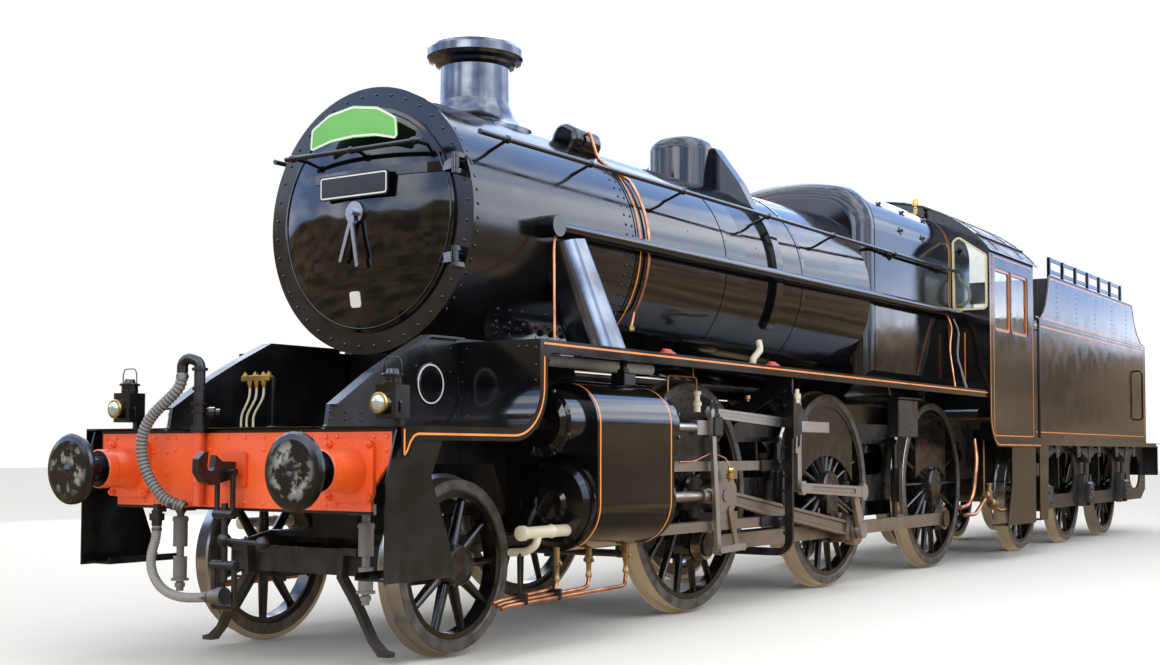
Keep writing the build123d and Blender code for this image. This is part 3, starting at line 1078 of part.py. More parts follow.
# Its pivot pin in a stretcher, and the bearing that rides on its middle.
pivot = block(-inner, inner, PONY_PIVOT - 60, PONY_PIVOT + 60, 720, 760)
pivot += bar_z(535, 721, 0, PONY_PIVOT, PIVOT_PIN)
pivot += block(-inner, inner, PONY_AXLE - 140, PONY_AXLE + 140, 1130, 1290)
pivot += block(-220, 220, PONY_AXLE - 140, PONY_AXLE + 140, 860 + RUNNING_CLEARANCE, 1131)

# The pin of the drawbar stands in the drag box at the back of the frames.
DRAWBAR_PIN_RADIUS = 36.0
drawbar_pin = bar_z(955 + SEAT, 1155 - SEAT, 0, DRAWBAR_PIN, DRAWBAR_PIN_RADIUS)
drawbar_pin += bar_z(955 + SEAT, 1000, 0, DRAWBAR_PIN, DRAWBAR_PIN_RADIUS + 16)
save("frame_stretchers", *stretchers, drag_box, pivot, drawbar_pin)

# Cab: side sheets with two windows each, a front sheet fitted round the firebox, and a curved roof.
ROOF_RADIUS = 1671.0
ROOF_CENTRE = CAB_ROOF_TOP - ROOF_RADIUS
APRON_REAR = 11485.0
WINDOWS = [
    # front, rear, bottom, top of the openings in each side
    (9835.0, 10385.0, 2485.0, 3165.0), (10425.0, 11010.0, 2485.0, 3165.0),
]
with BuildSketch() as cab_side_sketch:
    with BuildLine():
        Line((CAB_FRONT, 3400), (CAB_REAR, 3400))
        Line((CAB_REAR, 3400), (CAB_REAR, 2850))
        ThreePointArc((CAB_REAR, 2850), (CAB_REAR + 16, 2680), (CAB_REAR + 70, 2540))
        Line((CAB_REAR + 70, 2540), (CAB_REAR + 70, CAB_BOTTOM + 110))
        Line((CAB_REAR + 70, CAB_BOTTOM + 110), (APRON_REAR, CAB_BOTTOM + 110))
        Line((APRON_REAR, CAB_BOTTOM + 110), (APRON_REAR, CAB_BOTTOM))
        Line((APRON_REAR, CAB_BOTTOM), (CAB_FRONT + 270, CAB_BOTTOM))
        ThreePointArc((CAB_FRONT + 270, CAB_BOTTOM), (CAB_FRONT + 78, CAB_BOTTOM + 120),
                      (CAB_FRONT, CAB_BOTTOM + 330))
        Line((CAB_FRONT, CAB_BOTTOM + 330), (CAB_FRONT, 3400))
    make_face()
cab_side_face = cab_side_sketch.sketch
for front, rear, bottom, top in WINDOWS:
    window = RectangleRounded(rear - front, top - bottom, 55)
    cab_side_face -= Pos((front + rear) / 2, (bottom + top) / 2) * window
cab_side = side_plate(cab_side_face, CAB_HALF_WIDTH - SHEET, CAB_HALF_WIDTH)
spectacle = outline((895, 2720), (1228, 2720), (1228, 3268), (940, 3470), (890, 3430))
spectacle = fillet(spectacle.vertices(), 30)
front_face = Pos(0, 2760) * Rectangle(2 * (CAB_HALF_WIDTH - SHEET - SEAT), 2400)
front_face -= spectacle + mirror(spectacle, Plane.YZ)
front_face -= firebox_section(-SEAT) + Pos(0, 1400) * Rectangle(2 * FIREBOX_WAIST, 900)
cab_front = front_plate(front_face, CAB_FRONT, CAB_FRONT + SHEET)
cab_front &= block(-2000, 2000, 9000, 12000, PLATE_TOP - 200, 4000)
under_roof = bar_y(9000, 12000, 0, ROOF_CENTRE, ROOF_RADIUS - SEAT)
under_roof += block(-CAB_HALF_WIDTH - 130, CAB_HALF_WIDTH + 130, 9000, 12000, 1000, 2300)
save("cab_sides", *both_sides(cab_side & under_roof), cab_front & under_roof)

roof_face = Pos(0, ROOF_CENTRE) * (Circle(ROOF_RADIUS + SHEET) - Circle(ROOF_RADIUS))
roof_face = roof_face & (Pos(0, 3318 + 500) * Rectangle(3000, 1000))
roof = front_plate(roof_face, CAB_FRONT - 45, CAB_REAR + 105)
hatch_face = Pos(0, ROOF_CENTRE) * (Circle(ROOF_RADIUS + SHEET + 42) - Circle(ROOF_RADIUS + SHEET - 1))
hatch_face = hatch_face & (Pos(0, 3900) * Rectangle(840, 500))
roof += front_plate(hatch_face, CAB_FRONT + 380, CAB_FRONT + 1180)
hatch_lid = Pos(0, ROOF_CENTRE) * (Circle(ROOF_RADIUS + SHEET + 58) - Circle(ROOF_RADIUS + SHEET + 40))
roof += front_plate(hatch_lid & (Pos(0, 3900) * Rectangle(420, 500)), CAB_FRONT + 350, CAB_FRONT + 1210)
save("cab_roof", roof)

# Floor, seats and the fall plate to the tender.
cab_inner = CAB_HALF_WIDTH - SHEET - SEAT
floor = block(-cab_inner, cab_inner, CAB_FRONT + 160, APRON_REAR - 190, CAB_FLOOR - 20, CAB_FLOOR)
floor -= front_plate(firebox_section(-SEAT), 9000, BACKHEAD + SEAT)
seat_box = block(900, cab_inner, 10350, 10950, CAB_FLOOR - 1, CAB_FLOOR + 470)
floor = floor.fuse(*both_sides(seat_box))
floor += block(-inner, inner, 10300, APRON_REAR - 190, FRAME_TOP + SEAT, CAB_FLOOR - 19)
floor += block(-700, 700, APRON_REAR - 240, TENDER_FRONT + 90, CAB_FLOOR + 8, CAB_FLOOR + 16)
floor += block(-700, 700, APRON_REAR - 240, APRON_REAR - 200, CAB_FLOOR - 1, CAB_FLOOR + 9)
save("cab_floor", floor)

# Backhead fittings: fire door, regulator, gauge glasses and gauges.
fittings = front_plate(Pos(0, 1990) * RectangleRounded(460, 340, 60), BACKHEAD + SEAT, BACKHEAD + 40)
fittings += bar_y(BACKHEAD + SEAT, BACKHEAD + 70, 0, 2700, 60)
fittings += front_plate(slot_between(0, 2700, 330, 2900, 16), BACKHEAD + 50, BACKHEAD + 66)
backhead_parts = [fittings]
for x in (-300, 300):
    backhead_parts.append(bar_y(BACKHEAD + SEAT, BACKHEAD + 50, x, 2520, 22) + bar_y(
        BACKHEAD + SEAT, BACKHEAD + 50, x, 2800, 22) + bar_z(2500, 2820, x, BACKHEAD + 50, 16))
for x, z, radius in ((-150, 3250, 85), (80, 3270, 105), (290, 3230, 75)):
    backhead_parts.append(bar_y(BACKHEAD + SEAT, BACKHEAD + 60, x, z, radius))
save("backhead_fittings", *backhead_parts)

# Wooden window frames inside the side sheets, glass in them and in the two front windows.
frames = []
panes = []
for front, rear, bottom, top in WINDOWS:
    middle_s, middle_z = (front + rear) / 2, (bottom + top) / 2
    grow = Pos(middle_s, middle_z) * RectangleRounded(rear - front + 20, top - bottom + 40, 40)
    hole = Pos(middle_s, middle_z) * RectangleRounded(rear - front - 70, top - bottom - 70, 30)
    sash = side_plate(grow - hole, CAB_HALF_WIDTH - SHEET - 32, CAB_HALF_WIDTH - SHEET - SEAT)
    pane = side_plate(Pos(middle_s, middle_z) * Rectangle(rear - front - 50, top - bottom - 50),
                      CAB_HALF_WIDTH - SHEET - 20, CAB_HALF_WIDTH - SHEET - 15)
    rebate = Rectangle(rear - front - 50 + 2 * SEAT, top - bottom - 50 + 2 * SEAT)
    sash -= side_plate(Pos(middle_s, middle_z) * rebate, CAB_HALF_WIDTH - SHEET - 20 - SEAT,
                       CAB_HALF_WIDTH - SHEET - 15 + SEAT)
    frames += both_sides(sash)
    panes += both_sides(pane)
rim = offset(spectacle, 22, kind=Kind.ARC) - spectacle
front_rim = front_plate(rim, CAB_FRONT - 14, CAB_FRONT - SEAT)
frames += both_sides(front_rim)
front_pane = front_plate(offset(spectacle, -SEAT, kind=Kind.ARC), CAB_FRONT + 1, CAB_FRONT + 6)
panes += both_sides(front_pane)
save("window_frames", *frames)
save("window_glass", *panes)

# Cab steps and entrance handrails.
CAB_STEP_X = CAB_HALF_WIDTH - 65
cab_step_face = outline((10560, CAB_BOTTOM + 90), (11440, CAB_BOTTOM + 90), (11440, 390), (10400, 390),
                        (10400, 430), (10560, 860))
cab_step = side_plate(cab_step_face, CAB_STEP_X, CAB_STEP_X + 10)
for z, reach in ((385.0, 190.0), (862.0, 150.0)):
    cab_step += block(CAB_STEP_X - reach, CAB_STEP_X + 1, 10420, 11440, z, z + 10)
cab_step += block(CAB_STEP_X, CAB_HALF_WIDTH - SHEET - SEAT, 10560, 11440, CAB_BOTTOM + 60, CAB_BOTTOM + 90)

# Grey spring posts stand below the front beam, each on a bracket from its frame.
POST_X = 740.0
POST_S = 700.0
post = bar_z(357, 842, POST_X, POST_S, 22) + bar_z(620, 800, POST_X, POST_S, 42)
post += bar_z(770, 792, POST_X, POST_S, 47) + bar_z(430, 560, POST_X, POST_S, 40)
post += bar_z(418, 432, POST_X, POST_S, 52) + bar_z(380, 405, POST_X, POST_S, 30)
post += block(FRAME_OUTSIDE + SEAT, POST_X + 40, POST_S - 35, POST_S + 35, 842, 900)

# The grab pillar stands on the apron and bends forward into the edge of the side sheet.
PILLAR_X = CAB_HALF_WIDTH - SHEET / 2
pillar = pipe(17, (PILLAR_X, APRON_REAR - 60, CAB_BOTTOM + 110 + SEAT), (PILLAR_X, APRON_REAR - 60, 2745),
              (PILLAR_X, CAB_REAR + 48, 2745), bend=60)
save("steps", *front_steps, *both_sides(cab_step), *both_sides(pillar), *both_sides(post))

# Tender frames outside the wheels, with openings between the axles, tied by beams and stretchers.
TENDER_FRAME_PLATE = 26.0
tender_frame_face = outline((TENDER_FRONT + 20, 620), (11800, 500), (17500, 500), (TENDER_BEAM, 640),
                            (TENDER_BEAM, TENDER_PLATFORM - SHEET - SEAT),
                            (TENDER_FRONT + 20, TENDER_PLATFORM - SHEET - SEAT))
openings = []
for first, second in zip(TENDER_AXLES, TENDER_AXLES[1:]):
    openings.append(((first + second) / 2, second - first - 700))
openings.append((TENDER_AXLES[-1] + 1000, 640.0))
for place, length in openings:
    tender_frame_face -= Pos(place, 930) * RectangleRounded(length, 520, 240)
for place in TENDER_AXLES:
    tender_frame_face -= Pos(place, 700) * Rectangle(250, 420)
tender_inner = TENDER_FRAME - TENDER_FRAME_PLATE / 2
tender_outer = TENDER_FRAME + TENDER_FRAME_PLATE / 2
tender_frames = both_sides(side_plate(tender_frame_face, tender_inner, tender_outer))
BETWEEN_WHEELS = 640.0
TENDER_STRETCHERS = [
    # station, thickness, bottom, top, half width
    (TENDER_FRONT + 30, 30.0, 700.0, 1320.0, BETWEEN_WHEELS),
    (TENDER_FRONT + 30, 30.0, 1120.0, 1320.0, tender_inner),
    (13140.0, 30.0, 760.0, 1250.0, tender_inner), (15120.0, 30.0, 760.0, 1250.0, tender_inner),
]
cross = [block(-half, half, s, s + thick, z0, z1) for s, thick, z0, z1, half in TENDER_STRETCHERS]
rear_beam = front_plate(Pos(0, 1070) * Rectangle(2 * TENDER_PLATFORM_HALF_WIDTH - 60, 440),
                        TENDER_BEAM, TENDER_BEAM + 24)
drawbar = flat_plate(slot_between(0, DRAWBAR_PIN, 0, TENDER_FRONT + 40, 62), 1020, 1090)
drawbar -= bar_z(900, 1200, 0, DRAWBAR_PIN, DRAWBAR_PIN_RADIUS + PIN_CLEARANCE)
tender_frame = tender_frames[0].fuse(tender_frames[1], *cross, rear_beam, drawbar)
save("tender_frames", tender_frame)

# Tender axleboxes in their guides with the laminated springs above them.
tender_boxes = []
for place in TENDER_AXLES:
    box = block(TENDER_FRAME - 60, 1150, place - 125 + SEAT, place + 125 - SEAT,
                TENDER_HEIGHT - 130, TENDER_HEIGHT + 130)
    box = chamfer(box.edges().filter_by(Axis.Y).group_by(Axis.X)[-1], 26)
    box -= bar_x(800, 1134, place, TENDER_HEIGHT, OUTER_JOURNAL + PIN_CLEARANCE)
    box -= block(tender_inner - SEAT, tender_outer + SEAT,
                 place - 200, place + 200, TENDER_HEIGHT + 118, TENDER_HEIGHT + 300)
    for direction in (-1, 1):
        box += block(tender_outer + SEAT, 1100, place + direction * 150 - 25,
                     place + direction * 150 + 25, 490, 900)
    spring = leaf_spring(place, 1250, 1080.0, 10, 90.0, 1075)
    spring += block(1026, 1130, place - 42, place + 42, 1250 - 11 * LEAF - 12, 1268)
    spring += bar_z(TENDER_HEIGHT + 130 + SEAT, 1250 - 10 * LEAF, 1075, place, 30)
    for end in (-1, 1):
        spring += bar_z(1225, TENDER_PLATFORM - SHEET - SEAT, 1075, place + end * 505, 18)
        spring += block(tender_outer + SEAT, 1110, place + end * 505 - 30, place + end * 505 + 30,
                        1276, 1304)
    tender_boxes += both_sides(box, spring)
save("tender_axleboxes", *tender_boxes)

# Tender platform and tank: the body of the tank is closed, with a coal space sunk into it.
platform = block(-TENDER_PLATFORM_HALF_WIDTH, TENDER_PLATFORM_HALF_WIDTH, TENDER_FRONT,
                 TENDER_BEAM + 24 + SEAT, TENDER_PLATFORM - SHEET, TENDER_PLATFORM)
platform += block(-TENDER_PLATFORM_HALF_WIDTH, TENDER_PLATFORM_HALF_WIDTH, TENDER_FRONT, TENDER_FRONT + 10,
                  TENDER_PLATFORM - 60, TENDER_PLATFORM)
platform += both_sides(block(TENDER_PLATFORM_HALF_WIDTH - 10, TENDER_PLATFORM_HALF_WIDTH, TENDER_FRONT,
                             TENDER_BEAM - 200, TENDER_PLATFORM - 60, TENDER_PLATFORM))
wheel_wells = []
WELL_RADIUS = TENDER_TREAD / 2 + FLANGE + 28
for place in TENDER_AXLES:
    well = bar_x(TYRE_INSIDE - 20, TYRE_OUTSIDE + 20, place, TENDER_HEIGHT, WELL_RADIUS)
    wheel_wells += both_sides(well)
platform = platform.cut(*wheel_wells)
save("tender_platform", platform)

TANK_FRONT = TENDER_FRONT + 60
COAL_FRONT = 12450.0
COAL_REAR = 15900.0
tank_half = TANK_HALF_WIDTH - SHEET - SEAT
tank = block(-tank_half, tank_half, TANK_FRONT + 620, TANK_REAR - SHEET - SEAT,
             TENDER_PLATFORM + SEAT, TANK_TOP)
coal_top = TANK_TOP + 10
coal_face = outline((COAL_FRONT - 400, CAB_FLOOR + 140), (COAL_FRONT + 300, CAB_FLOOR + 140),
                    (COAL_REAR, TANK_TOP - 200), (COAL_REAR, coal_top), (COAL_FRONT - 400, coal_top))
tank -= side_plate(coal_face, -780, 780)
FILLER_S = 16850.0
tank += bar_z(TANK_TOP - 1, TANK_TOP + 90, 0, FILLER_S, 260)
tank += bar_z(TANK_TOP + 80, TANK_TOP + 110, 0, FILLER_S, 285)
for x in (-tank_half + 140, tank_half - 140):
    tank += block(x - 140, x + 140, TANK_FRONT + 60, TANK_FRONT + 621, TENDER_PLATFORM + SEAT, 2350)
tank += block(-tank_half, tank_half, TENDER_FRONT + 20, TANK_FRONT + 621, TENDER_PLATFORM + SEAT, CAB_FLOOR)
bulkhead = block(-tank_half, tank_half, COAL_FRONT - 40, COAL_FRONT - 30, TANK_TOP - 1, TENDER_SIDE_TOP - 40)
bulkhead -= block(-420, 420, COAL_FRONT - 60, COAL_FRONT, TANK_TOP - 2, 3050)
rear_board = block(-tank_half, tank_half, 16300, 16308, TANK_TOP - 1, TENDER_SIDE_TOP - 40)
save("tender_tank", (tank + bulkhead + rear_board).cut(*wheel_wells))

with BuildSketch() as tender_side_sketch:
    with BuildLine():
        Line((TANK_FRONT, TENDER_PLATFORM + SEAT), (TANK_FRONT, 2740))
        Line((TANK_FRONT, 2740), (TANK_FRONT + 150, 2745))
        ThreePointArc((TANK_FRONT + 150, 2745), (12230, 2965), (12400, TENDER_SIDE_TOP))
        Line((12400, TENDER_SIDE_TOP), (16660, TENDER_SIDE_TOP))
        ThreePointArc((16660, TENDER_SIDE_TOP), (16920, 3010), (TANK_REAR, 2800))
        Line((TANK_REAR, 2800), (TANK_REAR, TENDER_PLATFORM + SEAT))
        Line((TANK_REAR, TENDER_PLATFORM + SEAT), (TANK_FRONT, TENDER_PLATFORM + SEAT))
    make_face()
tender_side = side_plate(tender_side_sketch.sketch, TANK_HALF_WIDTH - SHEET, TANK_HALF_WIDTH)
rear_half = TANK_HALF_WIDTH - SHEET - SEAT
tender_rear = block(-rear_half, rear_half, TANK_REAR - SHEET, TANK_REAR, TENDER_PLATFORM + SEAT, 2800)
save("tender_sides", *both_sides(tender_side), tender_rear)

# Coal rails along the tops of the tender sides.
RAIL_X = TANK_HALF_WIDTH - SHEET / 2 - 30
rails = []
for z in (TENDER_SIDE_TOP + 60, TENDER_SIDE_TOP + 205):
    rails.append(block(RAIL_X - 8, RAIL_X + 8, 12480, 16100, z - 22, z + 22))
post_stations = [12500 + n * (16080 - 12500) / 6 for n in range(7)]
posts = [block(RAIL_X - 12, TANK_HALF_WIDTH - SHEET - SEAT, s - 22, s + 22, TENDER_SIDE_TOP - 120,
               TENDER_SIDE_TOP + 227) for s in post_stations]
coal_rail = rails[0].fuse(rails[1], *posts)
save("coal_rails", *both_sides(coal_rail))

# Rear buffers, tender steps and grab rails.
rear_buffer = Pos(BUFFER_SPREAD, LENGTH, BUFFER_HEIGHT) * Rot(0, 0, 180) * buffer()
rear_buffer = rear_buffer & block(0, 2000, TENDER_BEAM + 24 + SEAT, LENGTH + 10, 0, 3000)
rear_base = front_plate(rounded(Rectangle(330, 330), 60), TENDER_BEAM + 24 + SEAT, TENDER_BEAM + 50)
rear_base = Pos(BUFFER_SPREAD, 0, BUFFER_HEIGHT) * rear_base
rear_buffers = both_sides(rear_buffer + rear_base)
tender_step = side_plate(outline((11640, 1270), (12000, 1270), (11960, 400), (11640, 400)), 1195, 1205)
for z in (400.0, 850.0):
    tender_step += block(1050, 1196, 11640, 11960, z, z + 10)
tender_step += block(1125, 1205, 11640, 12000, 1270 - 10, TENDER_PLATFORM - SHEET - SEAT)
grab = pipe(14, (TANK_HALF_WIDTH + SEAT, 16900, 2400), (TANK_HALF_WIDTH + 80, 16900, 2400),
            (TANK_HALF_WIDTH + 80, 16900, 1680), (TANK_HALF_WIDTH + SEAT, 16900, 1680))
front_grab = bar_z(TENDER_PLATFORM + SEAT, 2650, TANK_HALF_WIDTH + 70, TANK_FRONT + 60, 17)
front_grab += bar_x(TANK_HALF_WIDTH + SEAT, TANK_HALF_WIDTH + 70, TANK_FRONT + 60, 2630, 12)
save("tender_steps_and_rails", *both_sides(tender_step, grab, front_grab))

# Draw gear on both beams: a hook on a shank, and the screw coupling that hangs from the front one.
HOOK_Z = 1085.0
HOOK_EYE = 22.0
SHACKLE_PIN = 20.0
LINK_S = 372.0              # station of the eye and of the coupling that hangs in it
hook_face = outline((BEAM_FACE - 1, HOOK_Z + 42), (330, HOOK_Z + 46), (270, HOOK_Z + 92), (206, HOOK_Z + 100),
                    (164, HOOK_Z + 60), (160, HOOK_Z - 10), (200, HOOK_Z - 66), (262, HOOK_Z - 84),
                    (330, HOOK_Z - 70), (BEAM_FACE - 1, HOOK_Z - 42))
throat = slot_between(250, HOOK_Z + 20, 262, HOOK_Z + 110, 27)
hook_face = fillet(hook_face.vertices(), 12) - throat - Pos(LINK_S, HOOK_Z - 12) * Circle(HOOK_EYE)
hook = side_plate(hook_face, -24, 24)
hook_collar = front_plate(rounded(Pos(0, HOOK_Z) * Rectangle(190, 190), 20),
                          BEAM_FACE - 22, BEAM_FACE - SEAT)
front_hook = hook + hook_collar
rear_hook = Pos(0, LENGTH, 0) * Rot(0, 0, 180) * (hook + hook_collar)
rear_hook = rear_hook & block(-200, 200, TENDER_BEAM + 24 + SEAT, LENGTH, 0, 3000)
save("rear_buffers", *rear_buffers, rear_hook)
SHACKLE_Z = HOOK_Z - 12 - (HOOK_EYE - SHACKLE_PIN) + SEAT
coupling = bar_x(-76, 76, LINK_S, 840, 26) + bar_x(-95, 95, LINK_S, 560, 26)
coupling += bar_z(470, 900, 0, LINK_S, 19)
for x in (-62, 62):
    coupling += bar_z(840, SHACKLE_Z, x, LINK_S, 15)
coupling += bar_x(-82, 82, LINK_S, SHACKLE_Z, SHACKLE_PIN)
for x in (-80, 80):
    coupling += bar_z(330, 560, x, LINK_S, 16)
coupling += bar_x(-80, 80, LINK_S, 330, 16)
coupling += tube_between((0, LINK_S, 700), (330, LINK_S - 30, 690), 13)
coupling += Pos(330, LINK_S - 30, 690) * Sphere(40)
coupling += Pos(0, LINK_S, 700) * Sphere(38)
save("front_coupling", front_hook, coupling)

# Two oil lamps on the low platform.
LAMP_X = 1045.0
LAMP_S = 560.0
lamp = block(-70, 70, LAMP_S - 70, LAMP_S + 70, PLATFORM_TOP + 40, PLATFORM_TOP + 215)
lamp = chamfer(lamp.edges().filter_by(Axis.Z), 14)
lamp += bar_z(PLATFORM_TOP + 214, PLATFORM_TOP + 262, 0, LAMP_S, 48)
lamp += bar_z(PLATFORM_TOP + 260, PLATFORM_TOP + 270, 0, LAMP_S, 60)
lamp += bar_z(PLATFORM_TOP + 268, PLATFORM_TOP + 300, 0, LAMP_S, 30)
lamp += bar_y(LAMP_S - 105, LAMP_S - 69, 0, PLATFORM_TOP + 118, 56)
lamp += block(-18, 18, LAMP_S + 40, LAMP_S + 76, PLATFORM_TOP + SEAT, PLATFORM_TOP + 120)
save("lamps", *both_sides(Pos(LAMP_X, 0, 0) * lamp))

# Vacuum standpipe in front of the beam with its swan neck, and the dummy coupling for the hose's end.
HOSE_EXIT = (-352.0, 366.0, 1630.0)
neck = pipe(31, (PIPE_X, PIPE_S, 880), (PIPE_X, PIPE_S, 1690), (-352, 366, 1725), HOSE_EXIT, bend=44)
neck += bar_z(1010, 1050, PIPE_X, PIPE_S, 42) + bar_z(1290, 1330, PIPE_X, PIPE_S, 44)
neck += block(PIPE_X - 20, PIPE_X + 20, PIPE_S, BEAM_FACE - SEAT, 1020, 1040)

# The two hoses that hang free, each a plain tube along a route of straight runs and tangent bends.
VACUUM_HOSE = 33.0
VACUUM_ROUTE = [
    (-352.0, 366.0, 1629.5), (-352.0, 366.0, 1560.0), (-420.0, 330.0, 1480.0), (-520.0, 305.0, 1400.0),
    (-590.0, 292.0, 1300.0), (-600.0, 290.0, 1180.0), (-560.0, 298.0, 1060.0), (-500.0, 315.0, 970.0),
    (-440.0, 340.0, 905.0), (-372.0, 366.0, 880.0),
]
HEATING_HOSE = 27.0
HEATING_ROUTE = [
    (-590.0, 400.0, 759.5), (-590.0, 400.0, 690.0), (-585.0, 360.0, 610.0), (-545.0, 325.0, 520.0),
    (-470.0, 310.0, 440.0), (-370.0, 300.0, 395.0), (-260.0, 296.0, 378.0), (-140.0, 296.0, 380.0),
    (-30.0, 298.0, 392.0),
]


def hose(radius, route):
    """A round tube with each bend as large as its two runs allow. Prints the bends for a check."""
    points = [Vector(*point) for point in route]
    bends = []
    for before, corner, after in zip(points, points[1:], points[2:]):
        turn = radians((corner - before).get_angle(after - corner))
        bends.append(0.45 * min((corner - before).length, (after - corner).length) / tan(turn / 2))
    path = FilletPolyline(*points, radius=bends)
    tube = sweep(Plane(origin=path @ 0, z_dir=path % 0) * Circle(radius), path)
    print("hose bends", [round(bend) for bend in bends], "length", round(path.length),
          "volume over section times length", round(tube.volume / (pi * radius ** 2 * path.length), 4))
    return tube


save("vacuum_hose", hose(VACUUM_HOSE, VACUUM_ROUTE))
save("heating_hose", hose(HEATING_HOSE, HEATING_ROUTE))

# Metal ends of the hoses: the plug on the beam, the heating valve and the heating coupling's head.
def run_out(route, start, end):
    """Two points beyond the end of a route, in line with its last run."""
    tip = Vector(*route[-1])
    along = (tip - Vector(*route[-2])).normalized()
    return tip + along * start, tip + along * end


plug_start, plug_end = run_out(VACUUM_ROUTE, SEAT, 45.0)
plug = tube_between(plug_start, plug_end, 27)
plug += block(plug_end.X - 14, plug_end.X + 14, plug_end.Y - 14, BEAM_FACE - SEAT,
              plug_end.Z - 14, plug_end.Z + 14)
valve = bar_z(760, 850, -590, 400, 30) + bar_z(790, 830, -590, 400, 42)
valve += block(-612, -568, 400, BEAM_FACE - SEAT, 838, 874) + bar_z(849, 884, -590, 400, 22)
head_start, head_end = run_out(HEATING_ROUTE, SEAT, 70.0)
head = tube_between(head_start, head_end, 34)
head += tube_between(*run_out(HEATING_ROUTE, 66.0, 120.0), 46)
save("train_pipes", neck, plug, valve, head)
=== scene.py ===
import math

import bmesh
import bpy
from mathutils import Matrix, Vector


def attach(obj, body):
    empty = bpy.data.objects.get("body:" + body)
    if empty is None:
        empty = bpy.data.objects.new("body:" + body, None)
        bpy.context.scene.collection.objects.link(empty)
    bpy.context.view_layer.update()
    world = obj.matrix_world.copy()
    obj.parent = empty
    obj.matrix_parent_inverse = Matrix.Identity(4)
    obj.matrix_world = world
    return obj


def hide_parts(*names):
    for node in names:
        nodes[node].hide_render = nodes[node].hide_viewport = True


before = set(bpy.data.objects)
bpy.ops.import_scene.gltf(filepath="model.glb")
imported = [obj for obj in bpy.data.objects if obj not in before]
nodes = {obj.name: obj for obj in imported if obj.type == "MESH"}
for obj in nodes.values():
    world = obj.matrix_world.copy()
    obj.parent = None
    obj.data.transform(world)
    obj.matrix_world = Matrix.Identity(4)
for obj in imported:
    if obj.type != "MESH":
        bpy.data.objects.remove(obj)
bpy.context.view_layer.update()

# The camera stands ahead of the engine and to its left, with its lens about 1.2 m above the ground and
# aimed a little upwards. A maker's place is in millimetres: left of the middle, behind the buffer faces,
# and up.
HALF_LENGTH = 9.125


def at(x, station, z):
    """A maker's place in millimetres, as a point of the frame in metres."""
    return Vector((x / 1000, station / 1000 - HALF_LENGTH, z / 1000))


LENS_PLACE = at(6086, -5126, 1180)
TURN, TILT, ROLL = (math.radians(degrees) for degrees in (32.54, -2.507, 0.07))
lens = bpy.data.cameras.new("lens")
lens.sensor_width = 36.0
lens.lens = 44.5
lens.shift_x = -0.0345
lens.shift_y = 0.0496
lens.clip_end = 200.0
camera = bpy.data.objects.new("camera", lens)
bpy.context.collection.objects.link(camera)
towards_lens = Vector((math.sin(TURN) * math.cos(TILT), -math.cos(TURN) * math.cos(TILT), math.sin(TILT)))
looking = towards_lens.to_track_quat("Z", "Y").to_matrix() @ Matrix.Rotation(ROLL, 3, "Z")
camera.matrix_world = Matrix.Translation(LENS_PLACE) @ looking.to_4x4()
bpy.context.scene.camera = camera
bpy.context.scene.view_settings.view_transform = "Standard"


# The vacuum hose hangs from the swan neck in front of the beam to a plug on the beam. It is moulded
# rubber over a wire coil, and the wire shows as close ribs. Weather turns the black rubber grey on the
# ribs.
def linear(sheet_colour):
    """A colour written as sRGB hex, in the linear values that a material takes."""
    levels = [int(sheet_colour[n:n + 2], 16) / 255 for n in (1, 3, 5)]
    return [v / 12.92 if v <= 0.04045 else ((v + 0.055) / 1.055) ** 2.4 for v in levels] + [1.0]


def add_node(tree, kind, settings=(), feeds=()):
    """Adds one node with its settings and what feeds its sockets, named or numbered, and gives it back.
    A feed is another node's output, or a node that has only one in use."""
    node = tree.nodes.new("ShaderNode" + kind)
    for name, value in dict(settings).items():
        if isinstance(name, str) and hasattr(node, name):
            setattr(node, name, value)
        else:
            node.inputs[name].default_value = value
    for name, feed in dict(feeds).items():
        if isinstance(feed, bpy.types.Node):
            feed = next(output for output in feed.outputs if output.enabled)
        tree.links.new(feed, node.inputs[name])
    return node


def new_material(name):
    """An empty material. Gives back the material, its node tree, and the place in the part for its
    patterns."""
    material = bpy.data.materials.new(name)
    material.use_nodes = True
    material.node_tree.nodes.clear()
    return material, material.node_tree, add_node(material.node_tree, "TexCoord").outputs["Object"]


def rubber(name, dark, pale, worn_rough):
    """Weathered rubber: matt, IOR about 1.5, worn grey on its high places in patches of 60 mm. Its grain
    is finer than 1 mm and is drawn at 4 mm so that it shows."""
    material, tree, place = new_material(name)
    patches = add_node(tree, "TexNoise", {"Scale": 1000 / 60, "Detail": 3.0}, {"Vector": place})
    ridges = add_node(tree, "NewGeometry").outputs["Pointiness"]
    rubbed = add_node(tree, "MapRange", {1: 0.49, 2: 0.54, 3: 0.0, 4: 1.0}, {0: ridges})
    wear = add_node(tree, "Math", {"operation": "MULTIPLY_ADD", 1: 0.55, "use_clamp": True},
                    {0: patches, 2: rubbed})
    tint = add_node(tree, "Mix", {"data_type": "RGBA", 6: linear(dark), 7: linear(pale)}, {0: wear})
    matt = add_node(tree, "MapRange", {3: 0.42, 4: worn_rough}, {0: patches})
    grain = add_node(tree, "TexNoise", {"Scale": 1000 / 4, "Detail": 3.0}, {"Vector": place})
    bump = add_node(tree, "Bump", {"Strength": 0.5, "Distance": 0.0006}, {"Height": grain})
    shader = add_node(tree, "BsdfPrincipled", {"IOR": 1.5},
                      {"Base Color": tint, "Roughness": matt, "Normal": bump})
    add_node(tree, "OutputMaterial", {}, {0: shader})
    return material


